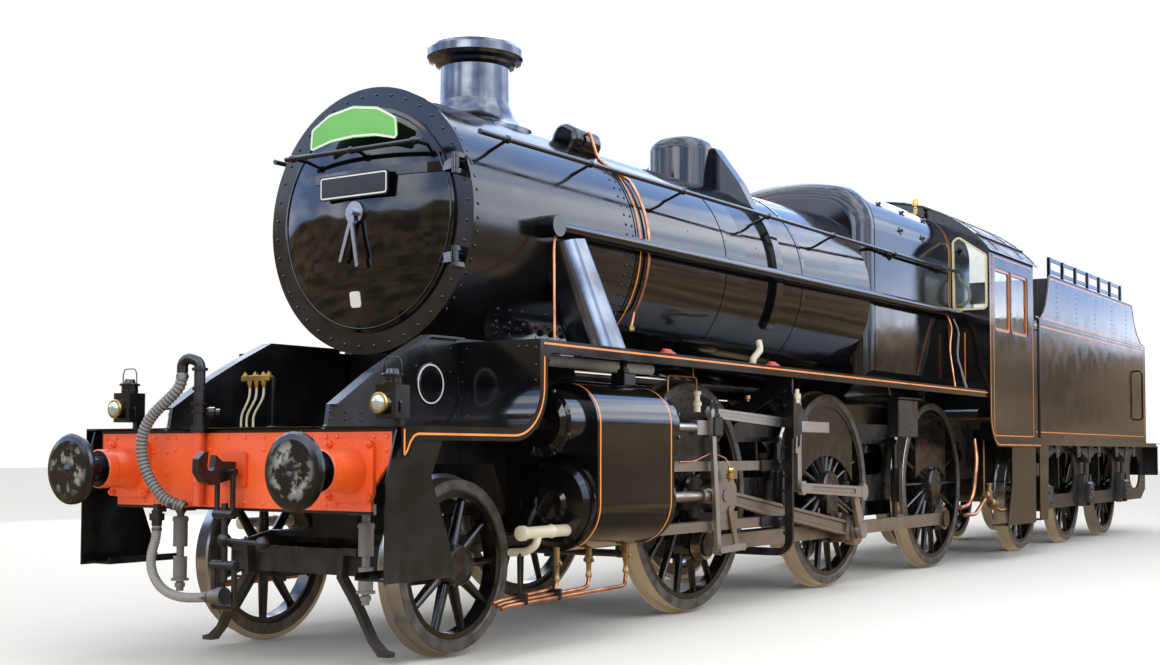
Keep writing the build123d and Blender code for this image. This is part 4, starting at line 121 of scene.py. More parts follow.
def smooth_route(route):
    """The points of a hose's route as one smooth open line."""
    curve = bpy.data.curves.new("route", "CURVE")
    curve.dimensions = "3D"
    curve.resolution_u = 24
    spline = curve.splines.new("NURBS")
    spline.points.add(len(route) - 1)
    for point, place in zip(spline.points, route):
        point.co = (*at(*place), 1.0)
    spline.order_u = 3
    spline.use_endpoint_u = True
    line = bpy.data.objects.new("route", curve)
    bpy.context.collection.objects.link(line)
    bpy.context.view_layer.update()
    drawn = bpy.data.meshes.new_from_object(line.evaluated_get(bpy.context.evaluated_depsgraph_get()))
    points = [v.co.copy() for v in drawn.vertices]
    bpy.data.meshes.remove(drawn)
    bpy.data.objects.remove(line)
    return points


def even_points(points, step):
    """The same line in steps of one length."""
    spots = [points[0].copy()]
    need = step
    for a, b in zip(points, points[1:]):
        run = (b - a).length
        gone = 0.0
        while run - gone >= need:
            gone += need
            spots.append(a.lerp(b, gone / run))
            need = step
        need -= run - gone
    spots.append(points[-1].copy())
    return spots


def ringed_faces(rings, sides):
    """Faces that join rings of points in order, closed at both ends."""
    faces = []
    for n in range(1, rings):
        for side in range(sides):
            a = (n - 1) * sides + side
            b = (n - 1) * sides + (side + 1) % sides
            faces.append((a, b, b + sides, a + sides))
    faces.append(tuple(reversed(range(sides))))
    faces.append(tuple(range((rings - 1) * sides, rings * sides)))
    return faces


def tube_shape(points, radii, sides=24):
    """Points and faces of a round tube through points in metres, with a radius at each or one for all."""
    if isinstance(radii, float):
        radii = [radii] * len(points)
    spots = []
    across = (points[1] - points[0]).normalized().orthogonal().normalized()
    for n, point in enumerate(points):
        along = (points[min(n + 1, len(points) - 1)] - points[max(n - 1, 0)]).normalized()
        across = (across - along * across.dot(along)).normalized()
        over = along.cross(across)
        for side in range(sides):
            turn = 2 * math.pi * side / sides
            spots.append(point + (across * math.cos(turn) + over * math.sin(turn)) * radii[n])
    return spots, ringed_faces(len(points), sides)


def turned_shape(start, along, profile, sides=24):
    """Points and faces of a turned shape. The profile gives distance along and radius, in millimetres."""
    along = Vector(along).normalized()
    across = along.orthogonal().normalized()
    over = along.cross(across)
    spots = []
    for distance, radius in profile:
        for side in range(sides):
            turn = 2 * math.pi * side / sides
            ray_out = across * math.cos(turn) + over * math.sin(turn)
            spots.append(start + along * distance / 1000 + ray_out * radius / 1000)
    return spots, ringed_faces(len(profile), sides)


def joined(name, shapes, smooth_below=35):
    """Several shapes, each a list of points and a list of faces, as one piece. Sharper edges stay
    crisp."""
    spots = []
    faces = []
    for shape_spots, shape_faces in shapes:
        first = len(spots)
        spots.extend(shape_spots)
        faces.extend(tuple(first + n for n in face) for face in shape_faces)
    mesh = bpy.data.meshes.new(name)
    mesh.from_pydata([tuple(p) for p in spots], [], faces)
    mesh.validate()
    outward = bmesh.new()
    outward.from_mesh(mesh)
    bmesh.ops.recalc_face_normals(outward, faces=outward.faces)
    outward.to_mesh(mesh)
    outward.free()
    mesh.polygons.foreach_set("use_smooth", [True] * len(mesh.polygons))
    mesh.set_sharp_from_angle(angle=math.radians(smooth_below))
    return bpy.data.objects.new(name, mesh)


def put(name, shapes, body, material, smooth_below=35):
    """Joins shapes into one piece with its material, and says what it rides on and whose finish it
    takes."""
    piece = joined(name, shapes, smooth_below)
    bpy.context.collection.objects.link(piece)
    piece.data.materials.append(material)
    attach(piece, body)
    return piece


def hose_clip(point, along, radius):
    """A steel strap clip round a hose, with its tightening lug and screw."""
    along = along.normalized()
    strap = [(0, radius), (0, radius + 2.5), (18, radius + 2.5), (18, radius)]
    side = along.cross(Vector((0, 0, 1))).normalized()
    screw = [(0, 7), (16, 7), (18, 5), (26, 5), (27, 3)]
    return [turned_shape(point - along * 0.009, along, strap),
            turned_shape(point + side * (radius / 1000 - 0.004) - along * 0.005, side, screw, 6)]


VACUUM_ROUTE = [
    (-352.0, 366.0, 1629.5), (-352.0, 366.0, 1560.0), (-420.0, 330.0, 1480.0), (-520.0, 305.0, 1400.0),
    (-590.0, 292.0, 1300.0), (-600.0, 290.0, 1180.0), (-560.0, 298.0, 1060.0), (-500.0, 315.0, 970.0),
    (-440.0, 340.0, 905.0), (-372.0, 366.0, 880.0),
]
RIB_PITCH = 0.0230
RIB_RADII = [0.0285, 0.0292, 0.0318, 0.0332, 0.0335, 0.0332, 0.0318, 0.0292]
vacuum_path = smooth_route(VACUUM_ROUTE)
ribs = even_points(vacuum_path, RIB_PITCH / len(RIB_RADII))
rib_radii = [RIB_RADII[n % len(RIB_RADII)] for n in range(len(ribs))]
vacuum_hose = put("vacuum_hose_ribbed", [tube_shape(ribs, rib_radii)], "engine",
                  rubber("ribbed_rubber_hose", "#1B1A1A", "#77736E", 0.62), 80)
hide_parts("vacuum_hose")


def worn_metal(name, clean, dull, rough, grain_mm=25, wear_rough=0.22):
    """Bare metal: one colour where it is rubbed and another, rougher, in patches where it is dull or
    oily. The skin of a casting or a drawn pipe is finer than a millimetre, and grain_mm is how coarse it
    is drawn."""
    material, tree, place = new_material(name)
    cloud = add_node(tree, "TexNoise", {"Scale": 1000 / (grain_mm * 6), "Detail": 5.0}, {"Vector": place})
    patches = add_node(tree, "MapRange", {1: 0.35, 2: 0.68}, {0: cloud})
    tint = add_node(tree, "Mix", {"data_type": "RGBA", 6: linear(clean), 7: linear(dull)}, {0: patches})
    matt = add_node(tree, "MapRange", {3: rough, 4: min(rough + wear_rough, 0.9)}, {0: patches})
    grain = add_node(tree, "TexNoise", {"Scale": 1000 / grain_mm, "Detail": 3.0}, {"Vector": place})
    bump = add_node(tree, "Bump", {"Strength": 0.35, "Distance": 0.0008}, {"Height": grain})
    shader = add_node(tree, "BsdfPrincipled", {"Metallic": 1.0},
                      {"Base Color": tint, "Roughness": matt, "Normal": bump})
    add_node(tree, "OutputMaterial", {}, {0: shader})
    return material


def hose_fittings(name, path, clips_in, radius, head_profile):
    """The coupling head turned on the lower end of a hose, and the strap clips this far in from its
    ends."""
    down = Vector((0, 0, -1))
    run = (path[-1] - path[-4]).normalized()
    clips = hose_clip(path[0] + down * clips_in[0], down, radius)
    clips += hose_clip(path[-1] - run * clips_in[1], run, radius)
    head = turned_shape(path[-1], run, head_profile)
    clips_piece = put(name + "_clips", clips, "engine", galvanised)
    return [put(name + "_head", [head], "engine", galvanised), clips_piece]


galvanised = worn_metal("galvanised_cast_iron", "#8C877C", "#5E5850", 0.45)
vacuum_fittings = hose_fittings("vacuum_hose", vacuum_path, (0.022, 0.03), 33.0, [
    (0.5, 27.5), (10, 27.5), (10, 40), (16, 43), (26, 43), (30, 38), (44, 36), (46, 28)])

# The steam heating hose is rubber wrapped in canvas tape, so it is smoother and a paler, dusty grey. It
# hangs in a deep curve from the valve under the beam to its coupling head.
HEATING_ROUTE = [
    (-590.0, 400.0, 759.5), (-590.0, 400.0, 690.0), (-585.0, 360.0, 610.0), (-545.0, 325.0, 520.0),
    (-470.0, 310.0, 440.0), (-370.0, 300.0, 395.0), (-260.0, 296.0, 378.0), (-140.0, 296.0, 380.0),
    (-30.0, 298.0, 392.0),
]
TAPE_PITCH = 0.020
TAPE_STEPS = 8
heating_path = smooth_route(HEATING_ROUTE)
turns = even_points(heating_path, TAPE_PITCH / TAPE_STEPS)
tape_radii = [0.0257 + 0.0013 * (n % TAPE_STEPS) / (TAPE_STEPS - 1) for n in range(len(turns))]
heating_hose = put("heating_hose_wrapped", [tube_shape(turns, tape_radii)], "engine",
                   rubber("canvas_wrapped_hose", "#3B3A38", "#8A857D", 0.8), 80)
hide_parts("heating_hose")
heating_fittings = hose_fittings("heating_hose", heating_path, (0.02, 0.02), 27.0,
                                 [(0.5, 26), (14, 26), (14, 37), (30, 39), (52, 36), (60, 36), (64, 47),
                                  (112, 49), (119, 44), (119, 30)])

# The engine stands on a plain pale floor with no edge in sight. All round is white, for the camera, for
# gloss and through glass, and a little less for the light that falls on the engine.
floor_paint, floor_tree = new_material("pale_floor")[:2]
add_node(floor_tree, "OutputMaterial", {}, {0: add_node(floor_tree, "BsdfPrincipled", {
    "Base Color": linear("#EFEFED"), "Roughness": 0.9, "Specular IOR Level": 0.0})})
FLOOR_HALF = 90.0
floor_corners = [Vector((FLOOR_HALF * a, FLOOR_HALF * b, 0))
                 for a, b in ((-1, -1), (1, -1), (1, 1), (-1, 1))]
floor = joined("yard_floor", [(floor_corners, [(0, 1, 2, 3)])])
bpy.context.collection.objects.link(floor)
floor.data.materials.append(floor_paint)

surround = bpy.data.worlds.new("studio_sky")
bpy.context.scene.world = surround
surround.use_nodes = True
white = surround.node_tree
white.nodes.clear()
ray = add_node(white, "LightPath").outputs
seen_or_gloss = add_node(white, "Math", {"operation": "MAXIMUM"},
                         {0: ray["Is Camera Ray"], 1: ray["Is Glossy Ray"]})
seen = add_node(white, "Math", {"operation": "MAXIMUM"},
                {0: seen_or_gloss, 1: ray["Is Transmission Ray"]})
strength = add_node(white, "MapRange", {3: 0.92, 4: 1.0}, {0: seen})
glow = add_node(white, "Background", {"Color": (1, 1, 1, 1)}, {"Strength": strength})
add_node(white, "OutputWorld", {}, {"Surface": glow})

# Two sheets are seen in reflections only, since gloss black shows little but what it mirrors. A dark card
# covers the ground and rises to a ragged edge far off, and a pale dome glows above it.
def reflection_sheet(name, rings, around_steps, low_tint, high_tint, patch_metres, glow):
    """A shell about the engine, seen in reflections only. Each ring is a radius and a function of the
    turn that gives its height, both in metres. Its two tints lie in soft patches of this size."""
    paint, tree, place = new_material(name + "_glow")
    wide = add_node(tree, "Mapping", {"Scale": (1, 1, 2.2)}, {"Vector": place})
    puffs = add_node(tree, "TexNoise", {"Scale": 1 / patch_metres, "Detail": 5.0}, {0: wide})
    share = add_node(tree, "MapRange", {1: 0.4, 2: 0.62}, {0: puffs})
    tint = add_node(tree, "Mix", {"data_type": "RGBA", 6: linear(low_tint), 7: linear(high_tint)},
                    {0: share})
    shade = add_node(tree, "Emission", {"Strength": glow}, {"Color": tint})
    add_node(tree, "OutputMaterial", {}, {0: shade})
    turns = [2 * math.pi * n / around_steps for n in range(around_steps)]
    points = [Vector((radius * math.cos(turn), radius * math.sin(turn), height(turn)))
              for radius, height in rings for turn in turns]
    faces = ringed_faces(len(rings), around_steps)[:-2]
    sheet = joined(name, [(points, faces)])
    bpy.context.collection.objects.link(sheet)
    sheet.data.materials.append(paint)
    sheet.visible_camera = sheet.visible_diffuse = False
    sheet.visible_shadow = sheet.visible_transmission = False


def card_edge(turn):
    """Height of the dark card in metres: low behind the engine and high on the right ahead of it."""
    hill = 5.4 + 4.0 * max(0.0, math.cos(turn - math.radians(250))) ** 2
    return hill + 0.5 * math.sin(7 * turn) + 0.35 * math.sin(17 * turn) + 0.3 * math.sin(31 * turn)


def on_ground(turn):
    """Just clear of the floor."""
    return 0.004


CARD_RADIUS = 40.0
reflection_sheet("dark_cards", [(0.2, on_ground), (CARD_RADIUS, on_ground), (CARD_RADIUS, card_edge)],
                 180, "#4E4538", "#8C7961", 3.0, 2.7)
DOME_RADIUS = 70.0
dome_rings = [(DOME_RADIUS * math.cos(math.radians(up)),
               lambda turn, up=up: DOME_RADIUS * math.sin(math.radians(up))) for up in range(0, 84, 6)]
reflection_sheet("cloud_dome", dome_rings, 60, "#7C98C8", "#EEF2FA", 22.0, 4.5)


# Three broad sheets of soft light hang over the engine: one above its left side, one ahead of it, and a
# weaker one above its far side.
def soft_light(name, place, aim, width, length, power):
    """A large soft rectangle of light at a place in metres, turned to a point."""
    light = bpy.data.lights.new(name, "AREA")
    light.shape = "RECTANGLE"
    light.size = width
    light.size_y = length
    light.energy = power
    lamp = bpy.data.objects.new(name, light)
    away = (Vector(place) - Vector(aim)).to_track_quat("Z", "Y").to_matrix().to_4x4()
    lamp.matrix_world = Matrix.Translation(place) @ away
    bpy.context.collection.objects.link(lamp)
    lamp.visible_camera = False


soft_light("sky_sheet", (7.0, -4.0, 11.5), (0.0, 0.5, 2.0), 7.0, 22.0, 1000.0)
soft_light("front_sheet", (3.0, -20.0, 7.0), (0.0, -8.0, 2.0), 8.0, 6.0, 450.0)
soft_light("far_side_sheet", (-9.0, 2.0, 9.0), (0.0, 0.5, 2.0), 5.0, 20.0, 330.0)

# The boiler is wrapped in thin sheet steel over its lagging, held by bands, painted in gloss black coach
# enamel and varnished. The sheets are never quite flat, so what they mirror wavers a little. An orange
# line runs round the first band, and a thin one round the rear of the firebox.
def enamel(name, colour, faded, gloss, ripple=0.0, dust=0.08, dust_colour="#6E675E", grime=None,
           grime_below=1.2, zones=()):
    """Coach enamel, IOR 1.5: a clear mirror that pales a little in clouds of 220 mm, gathers dust where
    it faces up and, below a height in metres, grime in splashes of 90 mm. Its orange peel is finer than
    3 mm and is drawn at 14 mm, and thin sheet under it waves by ripple millimetres over 420 mm. Each
    zone is another hex colour, its roughness, and a function of the tree and the place that gives the
    share it covers."""
    material, tree, place = new_material(name)
    cloud = add_node(tree, "TexNoise", {"Scale": 1000 / 220, "Detail": 5.0}, {"Vector": place})
    surface = add_node(tree, "Mix", {"data_type": "RGBA", 6: linear(colour), 7: linear(faded)},
                       {0: cloud})
    rough = add_node(tree, "MapRange", {1: 0.35, 2: 0.7, 3: gloss, 4: gloss * 1.7 + 0.02},
                     {0: cloud})
    for zone_colour, zone_rough, zone_share in zones:
        share = zone_share(tree, place)
        surface = add_node(tree, "Mix", {"data_type": "RGBA", 7: linear(zone_colour)},
                           {0: share, 6: surface})
        rough = add_node(tree, "Mix", {"data_type": "FLOAT", 3: zone_rough}, {0: share, 2: rough})
    facing = add_node(tree, "SeparateXYZ", {}, {0: add_node(tree, "NewGeometry").outputs["Normal"]})
    upward = add_node(tree, "MapRange", {1: 0.35, 3: 0.0, 4: dust}, {0: facing.outputs["Z"]})
    lying = add_node(tree, "MapRange", {1: 0.3, 2: 0.7, 3: 0.2}, {0: cloud})
    settled = add_node(tree, "Math", {"operation": "MULTIPLY"}, {0: upward, 1: lying})
    surface = add_node(tree, "Mix", {"data_type": "RGBA", 7: linear(dust_colour)},
                       {0: settled, 6: surface})
    if grime:
        height = add_node(tree, "SeparateXYZ", {}, {0: place}).outputs["Z"]
        low = add_node(tree, "MapRange", {2: grime_below, 3: 0.5, 4: 0.0}, {0: height})
        drawn_down = add_node(tree, "Mapping", {"Scale": (1, 1, 0.45)}, {"Vector": place})
        splash = add_node(tree, "TexNoise", {"Scale": 1000 / 90, "Detail": 6.0}, {0: drawn_down})
        streaks = add_node(tree, "MapRange", {1: 0.38, 2: 0.66}, {0: splash})
        dirt = add_node(tree, "Math", {"operation": "MULTIPLY"}, {0: low, 1: streaks})
        surface = add_node(tree, "Mix", {"data_type": "RGBA", 7: linear(grime)},
                           {0: dirt, 6: surface})
        rough = add_node(tree, "Math", {"operation": "MULTIPLY_ADD", 1: 0.5, "use_clamp": True},
                         {0: dirt, 2: rough})
    orange_peel = add_node(tree, "TexNoise", {"Scale": 1000 / 14, "Detail": 2.0}, {"Vector": place})
    normal = add_node(tree, "Bump", {"Strength": 0.5, "Distance": 0.00004},
                      {"Height": orange_peel})
    if ripple:
        long_way = add_node(tree, "Mapping", {"Scale": (1, 1, 1.6)}, {"Vector": place})
        waves = add_node(tree, "TexNoise", {"Scale": 1000 / 420, "Detail": 1.5}, {0: long_way})
        normal = add_node(tree, "Bump", {"Strength": 1.0, "Distance": ripple / 1000},
                          {"Height": waves, "Normal": normal})
    shader = add_node(tree, "BsdfPrincipled", {"IOR": 1.5},
                      {"Base Color": surface, "Roughness": rough, "Normal": normal})
    add_node(tree, "OutputMaterial", {}, {0: shader})
    return material


def finish_node(material, *names):
    """Gives carried over nodes their real finish."""
    for name in names:
        for number in range(len(nodes[name].data.materials)):
            nodes[name].data.materials[number] = material


def touch(node, start, towards):
    """Where a line from one maker's place towards another first meets a node, and its facing there."""
    first, second = at(*start), at(*towards)
    hit, point, normal, face = nodes[node].ray_cast(first, second - first)
    return (point, normal) if hit else None


def touches(node, pairs):
    """The same for many lines, without those that miss."""
    found = [touch(node, start, towards) for start, towards in pairs]
    return [spot for spot in found if spot]


CLEAR_OF_ENGINE = 2200.0


def around(node, station, first_angle, last_angle, step, centre_x, centre_z):
    """Spots on a node round the line (centre_x, centre_z), by degrees from the top to the left side."""
    pairs = []
    for n in range(int((last_angle - first_angle) / step) + 1):
        turn = math.radians(first_angle + step * n)
        x, z = CLEAR_OF_ENGINE * math.sin(turn), CLEAR_OF_ENGINE * math.cos(turn)
        pairs.append(((centre_x + x, station, centre_z + z), (centre_x, station, centre_z)))
    return touches(node, pairs)


LINE_RISE = 0.0007


def line_shape(spots, width, closed=False, rise=LINE_RISE):
    """A painted line or strip of this width in millimetres over spots, a little proud of them."""
    points = []
    faces = []
    count = len(spots)
    for n, (point, normal) in enumerate(spots):
        ahead = spots[(n + 1) % count if closed else min(n + 1, count - 1)][0]
        behind = spots[(n - 1) % count if closed else max(n - 1, 0)][0]
        across = (ahead - behind).normalized().cross(normal).normalized() * width / 2000
        points += [point - across, point - across + normal * rise, point + across + normal * rise,
                   point + across]
    for n in range(count if closed else count - 1):
        a = 4 * n
        b = 4 * ((n + 1) % count)
        faces += [(a, b, b + 1, a + 1), (a + 1, b + 1, b + 2, a + 2), (a + 2, b + 2, b + 3, a + 3)]
    return points, faces


boiler_enamel = enamel("gloss_black_coach_enamel", "#070708", "#0D0D0F", 0.07, ripple=0.8, dust=0.05)
finish_node(boiler_enamel, "boiler_barrel", "firebox", "boiler_casings", "handrails", "ejector_pipe")
lining_orange = enamel("orange_lining", "#E97F1E", "#F0932E", 0.25, dust=0.1)
BOILER_CENTRE, FIREBOX_CENTRE = 2620.0, 2700.0
BAND_STATION = 3388.0
band_lines = [line_shape(around("boiler_barrel", BAND_STATION, 0, 358, 2, 0, BOILER_CENTRE), 13, True)]
band_lines += [line_shape(around("firebox", s, -118, 118, 2, 0, FIREBOX_CENTRE), 9)
               for s in (9560.0, 9610.0)]
put("boiler_band_lines", band_lines, "engine", lining_orange)


# Small round headed screws hold the joints of the cladding, and square headed plugs for washing out the
# boiler stand in the shoulders of the firebox. All are painted over with the sheets.
def dome_shape(point, normal, radius):
    """The round head of a rivet or screw of this radius in millimetres."""
    sunk = point - normal * 0.0008
    return turned_shape(sunk, normal, [(0, radius), (0.8 + radius * 0.38, radius * 0.78),
                                       (0.8 + radius * 0.6, radius * 0.3)], 8)


barrel_screws = []
for s in (4100.0, 4690.0, 5200.0, 5990.0, 6650.0):
    barrel_screws += around("boiler_barrel", s, -120, 120, 15, 0, BOILER_CENTRE)
for s in (7362.0, 9585.0):
    barrel_screws += around("firebox", s, -118, 118, 6, 0, FIREBOX_CENTRE)
put("cladding_screws", [dome_shape(point, normal, 7) for point, normal in barrel_screws], "engine",
    boiler_enamel)
plug_shapes = []
for s in (7900.0, 8500.0, 9100.0):
    for angle, back in ((-52, 300), (-40, 0), (40, 0), (52, 300)):
        for point, normal in around("firebox", s + back, angle, angle, 1, 0, FIREBOX_CENTRE):
            plug_shapes.append(turned_shape(point - normal * 0.002, normal, [
                (0, 40), (7, 40), (9, 36), (9, 18), (20, 16)]))
            plug_shapes.append(turned_shape(point, normal, [(0, 15), (30, 15), (32, 12)], 4))
put("washout_plugs", plug_shapes, "engine", boiler_enamel)

# A copper steam pipe leaves the valve casing on the smokebox, runs back along it and down beside the
# first band to a fitting on the running plate. Another drops from the front of the ejector pipe.
BEND_STEPS = 5


def rounded_corners(points, radius):
    """Points in metres with each corner turned into a bend of about this radius in millimetres."""
    bent = [points[0]]
    for before, corner, after in zip(points, points[1:], points[2:]):
        cut = min(radius / 1000, (before - corner).length * 0.45, (after - corner).length * 0.45)
        a = corner + (before - corner).normalized() * cut
        b = corner + (after - corner).normalized() * cut
        for n in range(BEND_STEPS + 1):
            t = n / BEND_STEPS
            bent.append(a * (1 - t) ** 2 + corner * 2 * t * (1 - t) + b * t * t)
    return bent + [points[-1]]


def pipe_shape(places, radius, bend=60, sides=10):
    """A drawn pipe of this radius through maker's places, with bends of about this radius."""
    return tube_shape(rounded_corners([at(*place) for place in places], bend), radius / 1000, sides)


def mirrored(shape):
    """The same shape on the right side of the engine."""
    points, faces = shape
    return [Vector((-p.x, p.y, p.z)) for p in points], [tuple(reversed(face)) for face in faces]


def both(shapes):
    """Shapes of the left side, and the same on the right."""
    return list(shapes) + [mirrored(shape) for shape in shapes]


def lifted(spots, rise):
    """Points standing off a surface by this many millimetres."""
    return [point + normal * rise / 1000 for point, normal in spots]


copper = worn_metal("oiled_copper_pipe", "#C98A62", "#8A5A3E", 0.28, grain_mm=20)
casing_side, casing_facing = touch("boiler_casings", (900, 3150, 3560), (440, 3150, 3380))
pipe_run = [casing_side - casing_facing * 0.01, casing_side + casing_facing * 0.03]
pipe_run += lifted(around("smokebox", 3200, 44, 44, 1, 0, BOILER_CENTRE), 30)
pipe_run += lifted(around("smokebox", 3300, 46, 46, 1, 0, BOILER_CENTRE), 20)
pipe_run += lifted(around("boiler_barrel", 3470, 54, 122, 4, 0, BOILER_CENTRE), 22)
pipe_run.append(at(735, 3400, 2060))
copper_shapes = [tube_shape(rounded_corners(pipe_run, 60), 0.0125, 12)]
copper_shapes.append(pipe_shape([(915, 2225, 2575), (925, 2190, 2480), (985, 2110, 2100),
                                 (1000, 2095, 1845)], 9))
copper_shapes.append(pipe_shape([(930, 9300, 2630), (985, 9300, 2500), (1000, 9180, 2250),
                                 (1080, 9120, 1845)], 9))
put("boiler_pipes_copper", copper_shapes, "engine", copper)
drain_pipe = pipe_shape([(930, 9420, 2630), (1010, 9420, 2470), (1020, 9330, 2180), (1130, 9300, 1845)],
                        19)
put("ejector_drain_pipe", both([drain_pipe]), "engine", boiler_enamel)
brass = worn_metal("polished_brass", "#D9B464", "#8E7240", 0.2, grain_mm=15)
union_shapes = []
for place, size in (((735, 3400, 2075), 26), ((915, 2225, 2585), 20)):
    union_shapes.append(turned_shape(at(*place), (0, 0, -1), [
        (0, size * 0.7), (8, size), (34, size), (44, size * 0.6)], 6))
put("boiler_pipe_unions", union_shapes, "engine", brass)

# The smokebox is plain rolled plate in heat resisting black, riveted to its front ring and to the boiler
# barrel, and bolted to the saddle below through a wide flange.
def ring_lines(x, z, reach, count, near, far, first=0.5):
    """Lines along the engine, from one station to another, through points round a circle."""
    lines = []
    for n in range(count):
        turn = 2 * math.pi * (n + first) / count
        across, up = x + reach * math.sin(turn), z + reach * math.cos(turn)
        lines.append(((across, near, up), (across, far, up)))
    return lines


smokebox_black = enamel("heat_resisting_black", "#0A0A0B", "#121214", 0.12, ripple=0.6, dust=0.06)
finish_node(smokebox_black, "smokebox", "smokebox_saddle")
smokebox_rivets = touches("smokebox", ring_lines(0, BOILER_CENTRE, 785, 40, 1300, 1600))
for s, step in ((1562.0, 6), (3225.0, 5), (3300.0, 5)):
    smokebox_rivets += around("smokebox", s, -135, 135, step, 0, BOILER_CENTRE)
put("smokebox_rivets", [dome_shape(point, normal, 12) for point, normal in smokebox_rivets], "engine",
    smokebox_black)


# Along each side of the saddle a bent flange plate holds the smokebox down with two rows of nuts, and
# its foot turns out over the running plate. A plain plate below it closes the frames.
def bolt_shape(point, normal, across_flats):
    """A hexagon nut with the end of its stud."""
    half = across_flats / 2
    return [turned_shape(point - normal * 0.001, normal,
                         [(0, half * 1.15), (half * 0.8, half * 1.15), (half, half)], 6),
            turned_shape(point, normal,
                         [(0, half * 0.5), (half * 1.5, half * 0.5), (half * 1.6, half * 0.35)], 8)]


def bolts(node, lines, across_flats):
    """Nuts where lines meet a node."""
    return [shape for point, normal in touches(node, lines)
            for shape in bolt_shape(point, normal, across_flats)]


def plate_shape(front, back):
    """A plate between two outlines of the same number of points in metres."""
    count = len(front)
    faces = [(n, (n + 1) % count, count + (n + 1) % count, count + n) for n in range(count)]
    return front + back, faces + [tuple(reversed(range(count))), tuple(range(count, 2 * count))]


FLANGE_PROFILE = [(684, 2152), (650, 2106), (612, 2061), (594, 2010), (587, 1950), (596, 1905),
                  (615, 1882), (646, 1870), (646, 1854), (608, 1864), (582, 1894), (572, 1950),
                  (578, 2012), (598, 2066), (636, 2112), (672, 2158)]
flange_ends = [[at(x, s, z) for x, z in FLANGE_PROFILE] for s in (1925, 2850)]
closing_ends = [[at(x, s, z) for x, z in ((614, 1540), (634, 1540), (634, 1838), (614, 1838))]
                for s in (1640, 2080)]
put("saddle_flanges", both([plate_shape(*flange_ends), plate_shape(*closing_ends)]), "engine",
    smokebox_black, 30)
flange_nuts = []
for s in range(1990, 2800, 125):
    flange_nuts += bolt_shape(at(631, s, 2083), Vector((0.76, 0, -0.65)), 36)
    flange_nuts += bolt_shape(at(589, s + 30, 1966), Vector((1, 0, -0.1)).normalized(), 36)
put("saddle_flange_nuts", both(flange_nuts), "engine", smokebox_black)
saddle_lines = [((side * 1500, s, z), (0, s, z)) for s in range(2040, 2900, 140) for z in (2010, 1930)
                for side in (-1, 1)]
put("saddle_bolts", bolts("smokebox_saddle", saddle_lines, 34), "engine", smokebox_black)

# The smokebox door is a dished steel plate, painted and varnished until it mirrors, and hung on two
# hinges. Its rim closes on a raised bead.
door_black = enamel("varnished_black_door", "#050506", "#0A0A0C", 0.04, ripple=0.35, dust=0.03)
finish_node(door_black, "smokebox_door")
bead_lines = ring_lines(0, BOILER_CENTRE, 676, 72, 1300, 1600, 0)
bead_points = [point + Vector((0, -0.002, 0)) for point, normal in touches("smokebox_door", bead_lines)]
put("door_bead", [tube_shape(bead_points + bead_points[:1], 0.006, 8)], "smokebox_door", door_black,
    60)

# Two plates hang on the door, both bare of lettering: a green headboard with a white edge, and a black
# number plate with a white frame. A small white enamel plate is screwed on near the foot of the door.
def flat_line(places, facing, width, radius=40, closed=False):
    """A painted line along maker's places on a flat surface that faces one way, with rounded corners."""
    points = [at(*place) for place in places]
    if closed:
        middle = points[0].lerp(points[-1], 0.5)
        points = rounded_corners([middle] + points + [middle], radius)[:-1]
    else:
        points = rounded_corners(points, radius)
    return line_shape([(point, Vector(facing)) for point in points], width, closed)


def where(tree, place, axis, test, limit):
    """Where one of the three distances of the part is less or greater than a limit in millimetres."""
    along = add_node(tree, "SeparateXYZ", {}, {0: place}).outputs[axis]
    if axis == 0:
        along = add_node(tree, "Math", {"operation": "ABSOLUTE"}, {0: along})
    metres = limit / 1000 - (HALF_LENGTH if axis == 1 else 0)
    return add_node(tree, "Math", {"operation": test, 1: metres}, {0: along})


def number_plate_black(tree, place):
    """The lower plate, below the headboard."""
    return where(tree, place, 2, "LESS_THAN", 2930)


finish_node(enamel("headboard_green", "#58A83A", "#6DB84B", 0.25, dust=0.1,
                   zones=[("#0A0A0A", 0.2, number_plate_black)]), "door_plates")
white_enamel = enamel("white_plate_enamel", "#E9E7E0", "#D8D5CC", 0.2, dust=0.1)
BOARD_FACE, NUMBER_FACE = 1355.0, 1361.0
board = [(-352, 3072), (-342, 3196), (-198, 3272), (0, 3301), (198, 3272), (342, 3196), (352, 3072),
         (180, 3113), (0, 3123), (-180, 3113)]
number_frame = [(-268, 2755), (-268, 2881), (268, 2881), (268, 2755)]
white_shapes = [flat_line([(x, BOARD_FACE, z) for x, z in board], (0, -1, 0), 13, 24, True),
                flat_line([(x, NUMBER_FACE, z) for x, z in number_frame], (0, -1, 0), 8, 14, True)]
put("plate_white_edges", white_shapes, "smokebox_door", white_enamel)
plate_middle, plate_facing = touch("smokebox_door", (-40, 1200, 2125), (-40, 1700, 2125))
plate_up = plate_facing.cross(Vector((1, 0, 0))).normalized()
plate_corners = [plate_middle + Vector((a, 0, 0)) / 1000 + plate_up * b / 1000
                 for a, b in ((-42, 0), (-42, -50), (42, -50), (42, 50), (-42, 50), (-42, 0))]
outline = rounded_corners(plate_corners, 22)[:-1]
small_plate = plate_shape(*[[point + plate_facing * rise for point in outline]
                            for rise in (0.001, 0.007)])
put("small_door_plate", [small_plate], "smokebox_door", white_enamel)


# The dart that locks the door is polished steel, with two long handles. The rail above it is steel
# too, bolted on and painted black.
def rail_black(tree, place):
    """The rail, which is above the dart."""
    return where(tree, place, 2, "GREATER_THAN", 2950)


